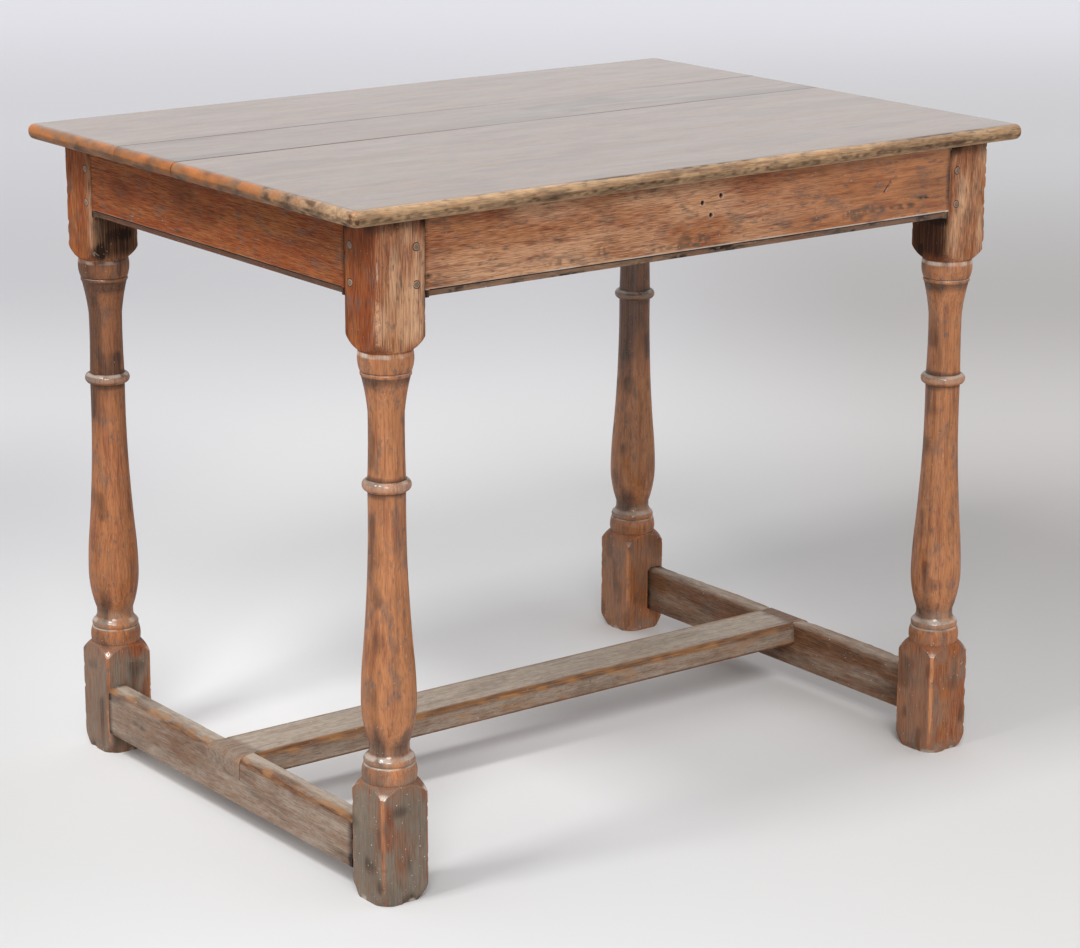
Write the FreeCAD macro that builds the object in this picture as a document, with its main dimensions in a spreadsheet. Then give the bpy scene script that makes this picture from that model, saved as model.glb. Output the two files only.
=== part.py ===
import FreeCAD, Part
import os
from math import asin, degrees, sqrt
import Sketcher

# A small joined oak table: three top boards on four turned legs, with pegged rails and an H of stretchers.
# It stands on z = 0 with its centre over the origin, x along the table and +y to the back. Sizes are in mm.

doc = FreeCAD.newDocument("joined_table")
sheet = doc.addObject("Spreadsheet::Sheet", "Sizes")

# Driving sizes, each with the words that stand beside it in the sheet.
DRIVING_SIZES = [
    ("overall_height", 720, "floor to the face of the top"),
    ("leg_spacing_long", 752, "between leg axes, along the table"),
    ("leg_spacing_deep", 554, "between leg axes, front to back"),
    ("top_thickness", 17, "top boards"),
    ("overhang_end", 38, "top past the legs at each end"),
    ("overhang_side", 18, "top past the legs at front and back"),
    ("middle_board", 116, "width of the middle board"),
    ("back_board", 194, "width of the back board"),
    ("front_joint_gap", 1.2, "open joint between front and middle boards"),
    ("back_joint_gap", 0.4, "closed joint between middle and back boards"),
    ("corner_ease", 7, "roundness of the top's corners beyond the nosing"),
    ("near_corner_ease", 1.5, "the same at the crisp front left corner"),
    ("block", 57, "square of the leg"),
    ("arris_chamfer", 3.2, "worn corners of the leg"),
    ("upper_block", 131.5, "square part of the leg at the rails"),
    ("lower_block", 126.5, "square part of the leg at the stretchers"),
    ("pommel", 14.5, "height of the rounded shoulders of the blocks"),
    ("foot_wear_height", 20, "worn corners of the foot, up from the floor"),
    ("foot_wear_depth", 8, "the same, in from the corner"),
    ("collar_diameter", 56.4, "collars next to the blocks"),
    ("collar_quirk", 1.0, "nick between block and collar"),
    ("lower_collar", 18, "height of the lower collar"),
    ("lower_collar_fall", 1.8, "how much the lower collar draws in at its top"),
    ("base_bead", 7.5, "height of the bead above the lower collar"),
    ("base_bead_diameter", 52.4, "that bead"),
    ("bead_quirk", 1.2, "nick beside a bead"),
    ("base_cove", 7.3, "height of the hollow above that bead"),
    ("neck", 6.5, "height of the neck under the belly"),
    ("neck_diameter", 41, "that neck"),
    ("belly_rise", 43.5, "from the neck up to the widest of the belly"),
    ("belly_diameter", 56.4, "widest of the belly"),
    ("flare_rise", 52, "from there up to where the belly turns into the shaft"),
    ("flare_diameter", 51, "leg at that height"),
    ("ring_rise", 308, "lower block up to the middle of the ring"),
    ("ring", 12, "height of the ring"),
    ("ring_diameter", 49.7, "ring on the shaft"),
    ("shaft_diameter", 38.4, "shaft beside the ring"),
    ("waist_diameter", 36.7, "thinnest of the shaft"),
    ("upper_collar", 21, "height of the upper collar"),
    ("upper_collar_fall", 2.2, "how much the upper collar draws in at its foot"),
    ("neck_bead", 5.5, "height of the bead under the upper collar"),
    ("neck_bead_diameter", 51.8, "that bead"),
    ("upper_cove", 37, "height of the hollow under that bead"),
    ("rail_height", 80, "rails"),
    ("rail_thickness", 24, "rails"),
    ("moulding_height", 8, "scratch moulding along the foot of a rail"),
    ("moulding_depth", 5, "the same, in from the face"),
    ("moulding_quirk", 1.3, "nick above that moulding"),
    ("moulding_stop", 5, "plain end of the moulding next to a leg"),
    ("tenon_thickness", 9, "all tenons"),
    ("tenon_length", 32, "all tenons"),
    ("tenon_setback", 9, "face of a rail or stretcher to its tenon"),
    ("tenon_haunch", 16, "rail cut away above its tenon"),
    ("tenon_shoulder", 5.5, "rail or stretcher cut away below, or around, its tenon"),
    ("tenon_end_gap", 2, "room beyond the end of a tenon"),
    ("joint_clearance", 0.15, "each side of a tenon or a tail"),
    ("peg_diameter", 8, "pegs"),
    ("peg_length", 34, "pegs, in the wood"),
    ("peg_proud", 0.8, "pegs, standing out"),
    ("peg_ease", 0.6, "eased edge of a peg"),
    ("peg_setback", 11, "shoulder of a tenon to its pegs"),
    ("peg_low", 14.5, "foot of a rail to its lower pegs"),
    ("peg_spacing", 37, "between the two pegs of a tenon"),
    ("bore_clearance", 0.1, "around a peg or a screw"),
    ("stretcher_clear", 27, "floor to the end stretchers"),
    ("stretcher_height", 54, "end stretchers"),
    ("stretcher_thickness", 25, "end stretchers"),
    ("stretcher_wear_width", 9, "arris worn off by feet, in from the face"),
    ("stretcher_wear_height", 7.5, "the same, down from the top"),
    ("stretcher_chamfer", 4, "inner arris of an end stretcher"),
    ("centre_width", 70, "centre stretcher"),
    ("centre_thickness", 25, "centre stretcher"),
    ("centre_round", 5.2, "rounded upper edges of the centre stretcher"),
    ("centre_fillet", 1.5, "small step beside that rounding"),
    ("lap_shoulder", 7, "shoulder beside the root of a dovetail"),
    ("lap_flare", 4.5, "how much a dovetail spreads at each side"),
    ("lap_peg_bite", 15, "peg in a dovetail"),
    ("screw_diameter", 4.4, "screws under the top"),
    ("screw_head_diameter", 8.4, "their heads"),
    ("screw_head", 3, "height of their heads"),
    ("screw_grip", 30, "screw in the rail, along its axis"),
    ("screw_bite", 12, "screw in the top, along its axis"),
    ("screw_run", 9, "how far a screw leans over its grip"),
    ("screw_spacing", 250, "between screws on a long rail"),
    ("pocket_diameter", 13, "gouged pocket for a screw head"),
    ("overrun", 1, "how far a cut runs past the wood"),
]

# Shares that shape the curves between the driving sizes.
NOSING_SHARE = 0.46
SHOULDER_SHARE = 0.37
SWELL_SHARE = 0.42
COVE_SHARE = 0.72
BELLY_SHARE = 0.745
FLARE_SHARE = 0.17
UPPER_COVE_SHARE = 0.38
WAIST_SHARE = 0.45
ROUND_SHARE = sqrt(0.5)
STEEP_SHARE = 0.7


class Size:
    """A length that knows its value now and the formula that binds a feature to the sheet."""

    def __init__(self, formula, value):
        self.formula = formula
        self.value = value

    @staticmethod
    def of(thing):
        return thing if isinstance(thing, Size) else Size(repr(thing), thing)

    def __add__(self, other):
        other = Size.of(other)
        return Size(f"({self.formula} + {other.formula})", self.value + other.value)

    def __sub__(self, other):
        other = Size.of(other)
        return Size(f"({self.formula} - {other.formula})", self.value - other.value)

    def __mul__(self, other):
        other = Size.of(other)
        return Size(f"({self.formula} * {other.formula})", self.value * other.value)

    def __truediv__(self, other):
        other = Size.of(other)
        return Size(f"({self.formula} / {other.formula})", self.value / other.value)

    def __neg__(self):
        return Size(f"(0 - {self.formula})", -self.value)

    def root(self):
        return Size(f"sqrt({self.formula})", sqrt(self.value))


def between(start, finish, share):
    """The size that lies a share of the way from start to finish."""
    return start + (finish - start) * share


def fill_sheet():
    sizes = {}
    for row, (name, value, words) in enumerate(DRIVING_SIZES, start=1):
        sheet.set(f"A{row}", words)
        sheet.set(f"B{row}", str(value))
        sheet.setAlias(f"B{row}", name)
        sizes[name] = Size(f"Sizes.{name}", float(value))
    doc.recompute()
    return sizes


size = fill_sheet()
ZERO = Size("0", 0.0)

# Sizes that follow from the driving ones.
half_block = size["block"] / 2
frame_long = size["leg_spacing_long"] + size["block"]
frame_deep = size["leg_spacing_deep"] + size["block"]
shoulders_long = size["leg_spacing_long"] - size["block"]
shoulders_deep = size["leg_spacing_deep"] - size["block"]
leg_height = size["overall_height"] - size["top_thickness"]
top_long = frame_long + size["overhang_end"] * 2
top_deep = frame_deep + size["overhang_side"] * 2
back_edge = top_deep / 2
back_joint = back_edge - size["back_board"]
front_joint = back_joint - size["back_joint_gap"] - size["middle_board"]
rail_foot = leg_height - size["rail_height"]
stretcher_top = size["stretcher_clear"] + size["stretcher_height"]
nosing = size["top_thickness"] * NOSING_SHARE
peg_radius = size["peg_diameter"] / 2
peg_bore = peg_radius + size["bore_clearance"]
mortise_reach = (size["tenon_length"] + size["tenon_end_gap"]) * 2
screw_sine = size["screw_run"] / size["screw_grip"]
screw_cosine = (Size("1", 1.0) - screw_sine * screw_sine).root()


# Drawing helpers

def bind(thing, prop, length):
    thing.setExpression(prop, length.formula)


def new_body(name):
    body = doc.addObject("PartDesign::Body", name)
    body.Label = name
    return body


def new_sketch(body, role, name):
    plane = [item for item in body.Origin.OriginFeatures if item.Role == role][0]
    sketch = body.newObject("Sketcher::SketchObject", f"{body.Name}_{name}")
    sketch.AttachmentSupport = [(plane, "")]
    sketch.MapMode = "FlatFace"
    return sketch


def vector(pair):
    return FreeCAD.Vector(pair[0].value, pair[1].value, 0)


def pin_point(sketch, geometry, end, pair):
    """Hold one point of the sketch at a pair of sizes, measured from the sketch's origin."""
    for kind, length in zip(("DistanceX", "DistanceY"), pair):
        index = sketch.addConstraint(Sketcher.Constraint(kind, -1, 1, geometry, end, length.value))
        bind(sketch, f"Constraints[{index}]", length)


def draw_outline(sketch, corners):
    """Draw a closed outline. A corner's third entry is a point on the arc from it to the next corner."""
    sides = []
    for corner, after in zip(corners, corners[1:] + corners[:1]):
        start = vector(corner)
        finish = vector(after)
        curve = Part.LineSegment(start, finish)
        if len(corner) > 2:
            curve = Part.Arc(start, vector(corner[2]), finish)
        geometry = sketch.addGeometry(curve, False)
        to_start = [start.distanceToPoint(sketch.getPoint(geometry, end)) for end in (1, 2)]
        first = 1 if to_start[0] < to_start[1] else 2
        sides.append((geometry, first, 3 - first))
    for number, corner in enumerate(corners):
        geometry, first, last = sides[number]
        before, before_first, before_last = sides[number - 1]
        sketch.addConstraint(Sketcher.Constraint("Coincident", before, before_last, geometry, first))
        pin_point(sketch, geometry, first, corner)
        if len(corner) > 2:
            through = sketch.addGeometry(Part.Point(vector(corner[2])), True)
            pin_point(sketch, through, 1, corner[2])
            sketch.addConstraint(Sketcher.Constraint("PointOnObject", through, 1, geometry))


def draw_rectangle(sketch, low, high):
    draw_outline(sketch, [low, (high[0], low[1]), high, (low[0], high[1])])


def draw_circles(sketch, centres, radius):
    for centre in centres:
        circle = Part.Circle(vector(centre), FreeCAD.Vector(0, 0, 1), radius.value)
        geometry = sketch.addGeometry(circle, False)
        index = sketch.addConstraint(Sketcher.Constraint("Radius", geometry, radius.value))
        bind(sketch, f"Constraints[{index}]", radius)
        pin_point(sketch, geometry, 3, centre)


def pad(body, sketch, length, midplane=False, reverse=False):
    feature = body.newObject("PartDesign::Pad", f"{sketch.Name}_pad")
    feature.Profile = sketch
    feature.Midplane = midplane
    feature.Reversed = reverse
    bind(feature, "Length", length)
    sketch.Visibility = False
    return feature


def groove(body, sketch):
    """Turn the outline's waste off, all the way round the upright axis."""
    feature = body.newObject("PartDesign::Groove", f"{sketch.Name}_groove")
    feature.Profile = sketch
    feature.ReferenceAxis = (sketch, ["V_Axis"])
    feature.Angle = 360
    return feature


def round_edges(body, base, wanted, radius, kind="PartDesign::Fillet", prop="Radius"):
    """Round, or chamfer, the edges of the last feature that the test wanted picks out."""
    doc.recompute()
    names = [f"Edge{number}" for number, edge in enumerate(base.Shape.Edges, start=1) if wanted(edge)]
    feature = body.newObject(kind, f"{base.Name}_edges")
    feature.Base = (base, names)
    bind(feature, prop, radius)
    return feature


def put(thing, x, y, z, turn=0):
    """Set a piece at its place in the table, turned about the upright axis."""
    thing.Placement = FreeCAD.Placement(FreeCAD.Vector(), FreeCAD.Rotation(FreeCAD.Vector(0, 0, 1), turn))
    for axis, length in zip("xyz", (x, y, z)):
        bind(thing, f"Placement.Base.{axis}", length)


def cut(name, base, tools):
    """The finished piece: its wood less what its joints take out."""
    waste = doc.addObject("Part::MultiFuse", f"{name}_waste")
    waste.Shapes = tools
    piece = doc.addObject("Part::Cut", name)
    piece.Label = name
    piece.Base = base
    piece.Tool = waste
    return piece


def is_upright(edge):
    return abs(edge.tangentAt(edge.FirstParameter).z) > STEEP_SHARE


# Where each rail and end stretcher stands. Its own frame has x along it, y inwards from its face and z up.

RAILS = {
    "front": (shoulders_long, (ZERO, -frame_deep / 2), 0),
    "back": (shoulders_long, (ZERO, frame_deep / 2), 180),
    "left": (shoulders_deep, (-frame_long / 2, ZERO), -90),
    "right": (shoulders_deep, (frame_long / 2, ZERO), 90),
}
LEGS = {
    "front_left": ("front", "left", -1, -1),
    "front_right": ("front", "right", 1, -1),
    "back_left": ("back", "left", -1, 1),
    "back_right": ("back", "right", 1, 1),
}


def put_at_side(thing, side, foot):
    shoulders, place, turn = RAILS[side]
    put(thing, place[0], place[1], foot, turn)


# The turned leg

def turning_outline():
    """Waste outside the lathe's profile, as radius and height, from the lower block up to the upper one."""
    corner = half_block * sqrt(2)
    outside = corner + size["overrun"]
    collar = size["collar_diameter"] / 2
    root = collar - size["collar_quirk"]
    shoulder = between(corner, root, SHOULDER_SHARE)
    bead = size["base_bead_diameter"] / 2
    bead_root = bead - size["bead_quirk"]
    neck = size["neck_diameter"] / 2
    belly = size["belly_diameter"] / 2
    flare = size["flare_diameter"] / 2
    shaft = size["shaft_diameter"] / 2
    waist = size["waist_diameter"] / 2
    neck_bead = size["neck_bead_diameter"] / 2
    neck_bead_root = neck_bead - size["bead_quirk"]

    low = size["lower_block"]
    collar_top = low + size["lower_collar"]
    bead_foot = collar_top + size["bead_quirk"] / 2
    bead_top = collar_top + size["base_bead"]
    cove_top = bead_top + size["base_cove"]
    neck_top = cove_top + size["neck"]
    belly_at = neck_top + size["belly_rise"]
    flare_at = belly_at + size["flare_rise"]
    ring_at = low + size["ring_rise"]
    ring_foot = ring_at - size["ring"] / 2
    ring_top = ring_at + size["ring"] / 2
    high = leg_height - size["upper_block"]
    collar_foot = high - size["upper_collar"]
    neck_bead_top = collar_foot - size["bead_quirk"] / 2
    neck_bead_foot = collar_foot - size["neck_bead"]
    waist_top = neck_bead_foot - size["upper_cove"]

    belly_rounding = (between(neck, belly, BELLY_SHARE), (neck_top + belly_at) / 2)
    belly_closing = (between(flare, belly, BELLY_SHARE), (flare_at + belly_at) / 2)
    shaft_hollow = (between(shaft, flare, FLARE_SHARE), (flare_at + ring_foot) / 2)
    cove_hollow = (between(bead_root, neck, COVE_SHARE), (bead_top + cove_top) / 2)
    upper_hollow = (between(waist, neck_bead_root, UPPER_COVE_SHARE), (waist_top + neck_bead_foot) / 2)
    return [
        (outside, low - size["pommel"]),
        (corner, low - size["pommel"], (shoulder, low - size["pommel"] / 2)),
        (root, low, (collar, between(low, collar_top, SWELL_SHARE))),
        (collar - size["lower_collar_fall"], collar_top),
        (bead_root, bead_foot, (bead, (bead_foot + bead_top) / 2)),
        (bead_root, bead_top, cove_hollow),
        (neck, cove_top),
        (neck, neck_top, belly_rounding),
        (belly, belly_at, belly_closing),
        (flare, flare_at, shaft_hollow),
        (shaft, ring_foot, (size["ring_diameter"] / 2, ring_at)),
        (shaft, ring_top, (waist, between(ring_top, waist_top, WAIST_SHARE))),
        (waist, waist_top, upper_hollow),
        (neck_bead_root, neck_bead_foot, (neck_bead, (neck_bead_foot + neck_bead_top) / 2)),
        (neck_bead_root, neck_bead_top),
        (collar - size["upper_collar_fall"], collar_foot, (collar, between(high, collar_foot, SWELL_SHARE))),
        (root, high, (shoulder, high + size["pommel"] / 2)),
        (corner, high + size["pommel"]),
        (outside, high + size["pommel"]),
    ]


def foot_outline():
    """Waste at the corners of the foot, worn away at the floor."""
    corner = half_block * sqrt(2)
    outside = corner + size["overrun"]
    worn = corner - size["foot_wear_depth"]
    height = size["foot_wear_height"]
    below = -size["overrun"]
    rounding = (between(corner, worn, SHOULDER_SHARE), height / 2)
    return [(worn, below), (worn, ZERO, rounding), (corner, height), (outside, height), (outside, below)]


def make_leg_wood(corner, across, along):
    """Square blank with worn corners, turned between its blocks and worn at its foot."""
    body = new_body(f"leg_{corner}_wood")
    square = new_sketch(body, "XY_Plane", "square")
    draw_rectangle(square, (-half_block, -half_block), (half_block, half_block))
    blank = pad(body, square, leg_height)
    round_edges(body, blank, is_upright, size["arris_chamfer"], "PartDesign::Chamfer", "Size")
    for name, outline in (("turning", turning_outline()), ("foot", foot_outline())):
        sketch = new_sketch(body, "XZ_Plane", name)
        draw_outline(sketch, outline)
        groove(body, sketch)
    put(body, size["leg_spacing_long"] / 2 * across, size["leg_spacing_deep"] / 2 * along, ZERO)
    return body


# Rails, with their tenons, and what their joints take out of the legs

def rail_tenon(clearance):
    """Section of a rail's tenon, low and high corner, with room around it if it is a mortise."""
    low = (size["tenon_setback"] - clearance, size["tenon_shoulder"] - clearance)
    high = (size["tenon_setback"] + size["tenon_thickness"] + clearance,
            size["rail_height"] - size["tenon_haunch"] + clearance)
    return low, high


def stretcher_tenon(clearance):
    low = (size["tenon_setback"] - clearance, size["tenon_shoulder"] - clearance)
    high = (size["tenon_setback"] + size["tenon_thickness"] + clearance,
            size["stretcher_height"] - size["tenon_shoulder"] * 2 + clearance)
    return low, high


def make_bar(name, side, foot, section, length):
    """A straight bar of the given section along one side of the table."""
    body = new_body(name)
    sketch = new_sketch(body, "YZ_Plane", "section")
    draw_rectangle(sketch, *section)
    pad(body, sketch, length, midplane=True)
    put_at_side(body, side, foot)
    return body


def make_rail_wood(side):
    """A rail: its board, the tenon through both ends, and the scratch moulding along its foot."""
    shoulders, place, turn = RAILS[side]
    body = new_body(f"rail_{side}_wood")
    section = new_sketch(body, "YZ_Plane", "section")
    draw_rectangle(section, (ZERO, ZERO), (size["rail_thickness"], size["rail_height"]))
    pad(body, section, shoulders, midplane=True)
    tenon = new_sketch(body, "YZ_Plane", "tenon")
    draw_rectangle(tenon, *rail_tenon(ZERO))
    pad(body, tenon, shoulders + size["tenon_length"] * 2, midplane=True)
    moulding = new_sketch(body, "YZ_Plane", "moulding")
    outside = -size["overrun"]
    quirk = size["moulding_quirk"]
    depth = size["moulding_depth"]
    height = size["moulding_height"]
    rounding = (between(depth, quirk, ROUND_SHARE), (height - quirk) * (1 - ROUND_SHARE))
    draw_outline(moulding, [(outside, outside), (depth, outside), (depth, ZERO, rounding),
                            (quirk, height - quirk), (quirk, height), (outside, height)])
    doc.recompute()
    channel = body.newObject("PartDesign::Pocket", f"rail_{side}_moulding_cut")
    channel.Profile = moulding
    channel.Midplane = True
    bind(channel, "Length", shoulders - size["moulding_stop"] * 2)
    moulding.Visibility = False
    put_at_side(body, side, rail_foot)
    return body


def peg_places(side):
    shoulders, place, turn = RAILS[side]
    reach = shoulders / 2 + size["peg_setback"]
    heights = (size["peg_low"], size["peg_low"] + size["peg_spacing"])
    return [(along, height) for along in (-reach, reach) for height in heights]


def make_pegs(name, side, radius, outside):
    """Four round rods across the two tenons of a rail, from outside its face to the end of their holes."""
    body = new_body(name)
    sketch = new_sketch(body, "XZ_Plane", "rounds")
    draw_circles(sketch, peg_places(side), radius)
    rods = pad(body, sketch, size["peg_length"], reverse=True)
    rods.SideType = "Two sides"
    bind(rods, "Length2", outside)
    put_at_side(body, side, rail_foot)
    return body, rods


def ease_peg_ends(body, rods):
    round_edges(body, rods, lambda edge: edge.Curve.TypeId == "Part::GeomCircle", size["peg_ease"],
                "PartDesign::Chamfer", "Size")


# Screws that hold the top, leaning in pockets on the inner faces of the rails

def screw_places(side):
    """Along a long rail evenly; along a short rail one in each top board, clear of the legs."""
    if side in ("front", "back"):
        return [-size["screw_spacing"], ZERO, size["screw_spacing"]]
    inside = shoulders_deep / 2
    middles = [(front_joint - inside) / 2, (front_joint + back_joint) / 2, (back_joint + inside) / 2]
    return middles if side == "right" else [-middle for middle in middles]


def make_leaning_rods(body, side, name, radius, length, reverse=False):
    """Rods square to the seat of the screw heads, which leans over by the screws' run."""
    sketch = new_sketch(body, "XY_Plane", name)
    lean = FreeCAD.Rotation(FreeCAD.Vector(1, 0, 0), degrees(asin(screw_sine.value)))
    sketch.AttachmentOffset = FreeCAD.Placement(FreeCAD.Vector(), lean)
    sketch.setExpression("AttachmentOffset.Rotation.Angle", f"asin({screw_sine.formula})")
    bind(sketch, "AttachmentOffset.Base.y", size["rail_thickness"] / 2 + size["screw_run"])
    bind(sketch, "AttachmentOffset.Base.z", size["rail_height"] - size["screw_grip"] * screw_cosine)
    draw_circles(sketch, [(along, ZERO) for along in screw_places(side)], radius)
    pad(body, sketch, length, reverse=reverse)


def make_screws(side):
    body = new_body(f"screws_rail_{side}")
    shank = size["screw_grip"] + size["screw_bite"]
    make_leaning_rods(body, side, "shanks", size["screw_diameter"] / 2, shank)
    make_leaning_rods(body, side, "heads", size["screw_head_diameter"] / 2, size["screw_head"], reverse=True)
    put_at_side(body, side, rail_foot)
    return body


def make_screw_holes(side):
    """Holes for the shanks up into the top, and pockets down and out of the rail's inner face."""
    bore = size["screw_diameter"] / 2 + size["bore_clearance"]
    holes = new_body(f"screw_holes_{side}")
    make_leaning_rods(holes, side, "shanks", bore, size["screw_grip"] + size["screw_bite"])
    pockets = new_body(f"screw_pockets_{side}")
    way_out = size["rail_thickness"] / screw_sine
    make_leaning_rods(pockets, side, "pockets", size["pocket_diameter"] / 2, way_out, reverse=True)
    for body in (holes, pockets):
        put_at_side(body, side, rail_foot)
    return holes, pockets


# End stretchers, and the centre stretcher that is dovetailed down into them

def make_end_stretcher_wood(side):
    shoulders, place, turn = RAILS[side]
    body = new_body(f"stretcher_{side}_wood")
    section = new_sketch(body, "YZ_Plane", "section")
    thick = size["stretcher_thickness"]
    height = size["stretcher_height"]
    chamfer = size["stretcher_chamfer"]
    draw_outline(section, [(ZERO, ZERO), (thick, ZERO), (thick, height - chamfer),
                           (thick - chamfer, height), (ZERO, height)])
    pad(body, section, shoulders, midplane=True)
    tenon = new_sketch(body, "YZ_Plane", "tenon")
    draw_rectangle(tenon, *stretcher_tenon(ZERO))
    pad(body, tenon, shoulders + size["tenon_length"] * 2, midplane=True)
    put_at_side(body, side, size["stretcher_clear"])
    return body


def make_wear(side):
    """Waste along the outer arris of an end stretcher, where feet have worn it round."""
    shoulders, place, turn = RAILS[side]
    body = new_body(f"stretcher_{side}_wear")
    sketch = new_sketch(body, "YZ_Plane", "waste")
    outside = -size["overrun"]
    width = size["stretcher_wear_width"]
    height = size["stretcher_height"]
    low = height - size["stretcher_wear_height"]
    above = height + size["overrun"]
    rounding = (width * (1 - ROUND_SHARE), between(low, height, ROUND_SHARE))
    draw_outline(sketch, [(outside, low), (ZERO, low, rounding), (width, height), (width, above),
                          (outside, above)])
    pad(body, sketch, shoulders + size["overrun"] * 2, midplane=True)
    put_at_side(body, side, size["stretcher_clear"])
    return body


def dovetail_outline(clearance, past):
    """A bar with a dovetail at each end, in plan, running past the outer faces by the length past."""
    root_at = frame_long / 2 - size["stretcher_thickness"]
    tip_at = frame_long / 2 + past
    root = size["centre_width"] / 2 - size["lap_shoulder"] + clearance
    tip = root + size["lap_flare"] * (size["stretcher_thickness"] + past) / size["stretcher_thickness"]
    return [(-tip_at, -tip), (-root_at, -root), (root_at, -root), (tip_at, -tip),
            (tip_at, tip), (root_at, root), (-root_at, root), (-tip_at, tip)]


def make_centre_wood():
    """A flat bar with rounded upper edges, and a dovetail as thick as the bar at each end."""
    body = new_body("stretcher_centre_wood")
    section = new_sketch(body, "YZ_Plane", "section")
    half = size["centre_width"] / 2
    thick = size["centre_thickness"]
    fillet = size["centre_fillet"]
    rounding = size["centre_round"]
    step = thick - rounding
    flat = half - fillet - rounding
    out = flat + rounding * ROUND_SHARE
    up = step + rounding * ROUND_SHARE
    draw_outline(section, [(-half, ZERO), (half, ZERO), (half, step), (half - fillet, step, (out, up)),
                           (flat, thick), (-flat, thick, (-out, up)), (fillet - half, step), (-half, step)])
    pad(body, section, frame_long - size["stretcher_thickness"] * 2, midplane=True)
    tails = new_sketch(body, "XY_Plane", "tails")
    draw_outline(tails, dovetail_outline(ZERO, ZERO))
    pad(body, tails, thick)
    put(body, ZERO, ZERO, stretcher_top - thick)
    return body


def make_lap_sockets():
    body = new_body("lap_sockets")
    sketch = new_sketch(body, "XY_Plane", "tails")
    draw_outline(sketch, dovetail_outline(size["joint_clearance"], size["overrun"]))
    pad(body, sketch, size["centre_thickness"] + size["overrun"])
    put(body, ZERO, ZERO, stretcher_top - size["centre_thickness"])
    return body


def make_lap_pegs(name, radius, below):
    """Upright pegs through the end stretchers into the dovetails, starting the length below under them."""
    body = new_body(name)
    sketch = new_sketch(body, "XY_Plane", "rounds")
    place = frame_long / 2 - size["stretcher_thickness"] / 2
    draw_circles(sketch, [(-place, ZERO), (place, ZERO)], radius)
    depth = size["stretcher_height"] - size["centre_thickness"] + size["lap_peg_bite"]
    pad(body, sketch, depth + below)
    put(body, ZERO, ZERO, size["stretcher_clear"] - below)
    return body


# The boards of the top

def board_corner(x_sign, y_sign, y, ease):
    """One corner of a board in plan, going anticlockwise: square, or as round as its nosing and ease."""
    x = top_long / 2 * x_sign
    if ease is None:
        return [(x, y)]
    radius = nosing + ease
    inset = radius * (1 - ROUND_SHARE)
    rounding = (x - inset * x_sign, y - inset * y_sign)
    on_end = (x, y - radius * y_sign)
    on_side = (x - radius * x_sign, y)
    if x_sign == y_sign:
        return [on_end + (rounding,), on_side]
    return [on_side + (rounding,), on_end]


def make_board_wood(name, front, back, front_eases=(None, None), back_eases=(None, None)):
    """One board with nosed outer edges. Eases run left, right; a side without them meets another board."""
    body = new_body(f"top_board_{name}_wood")
    plan = new_sketch(body, "XY_Plane", "plan")
    corners = board_corner(-1, -1, front, front_eases[0])
    corners += board_corner(1, -1, front, front_eases[1])
    corners += board_corner(1, 1, back, back_eases[1])
    corners += board_corner(-1, 1, back, back_eases[0])
    draw_outline(plan, corners)
    slab = pad(body, plan, size["top_thickness"])
    joints = [side.value for side, eases in ((front, front_eases), (back, back_eases)) if None in eases]

    def is_nosed(edge):
        """Every edge of the face or the underside, but for the sides that meet another board."""
        if is_upright(edge):
            return False
        middle = edge.valueAt((edge.FirstParameter + edge.LastParameter) / 2)
        return all(abs(middle.y - joint) > nosing.value for joint in joints)

    round_edges(body, slab, is_nosed, nosing)
    put(body, ZERO, ZERO, leg_height)
    return body


# Putting the table together

def make_rails():
    """Each rail with its pegs and screws, and the tools that cut its joints in its neighbours."""
    pieces = []
    tools = {}
    for side, (shoulders, place, turn) in RAILS.items():
        pegs, rods = make_pegs(f"pegs_rail_{side}", side, peg_radius, size["peg_proud"])
        ease_peg_ends(pegs, rods)
        peg_holes, rods = make_pegs(f"peg_holes_{side}", side, peg_bore, size["overrun"])
        holes, pockets = make_screw_holes(side)
        mortise = make_bar(f"mortise_{side}", side, rail_foot, rail_tenon(size["joint_clearance"]),
                           shoulders + mortise_reach)
        rail = cut(f"rail_{side}", make_rail_wood(side), [peg_holes, holes, pockets])
        pieces += [rail, pegs, make_screws(side)]
        tools[side] = {"leg": [mortise, peg_holes], "top": holes}
    return pieces, tools


def make_stretchers():
    pieces = []
    mortises = {}
    sockets = make_lap_sockets()
    peg_holes = make_lap_pegs("lap_peg_holes", peg_bore, size["overrun"])
    wears = []
    for side in ("left", "right"):
        wear = make_wear(side)
        wears.append(wear)
        pieces.append(cut(f"stretcher_{side}", make_end_stretcher_wood(side), [sockets, peg_holes, wear]))
        section = stretcher_tenon(size["joint_clearance"])
        mortises[side] = make_bar(f"foot_mortise_{side}", side, size["stretcher_clear"], section,
                                  shoulders_deep + mortise_reach)
    pieces.append(cut("stretcher_centre", make_centre_wood(), [peg_holes] + wears))
    pieces.append(make_lap_pegs("pegs_stretcher", peg_radius, ZERO))
    return pieces, mortises


def make_legs(rail_tools, mortises):
    pieces = []
    for corner, (long_side, end_side, across, along) in LEGS.items():
        wood = make_leg_wood(corner, across, along)
        tools = rail_tools[long_side]["leg"] + rail_tools[end_side]["leg"] + [mortises[end_side]]
        pieces.append(cut(f"leg_{corner}", wood, tools))
    return pieces


def make_top(rail_tools):
    ease = size["corner_ease"]
    front = make_board_wood("front", -back_edge, front_joint - size["front_joint_gap"],
                            front_eases=(size["near_corner_ease"], ease))
    middle = make_board_wood("middle", front_joint, back_joint - size["back_joint_gap"])
    back = make_board_wood("back", back_joint, back_edge, back_eases=(ease, ease))
    holes = {side: tools["top"] for side, tools in rail_tools.items()}
    ends = [holes["left"], holes["right"]]
    return [
        cut("top_board_front", front, ends + [holes["front"]]),
        cut("top_board_middle", middle, ends),
        cut("top_board_back", back, ends + [holes["back"]]),
    ]


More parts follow.
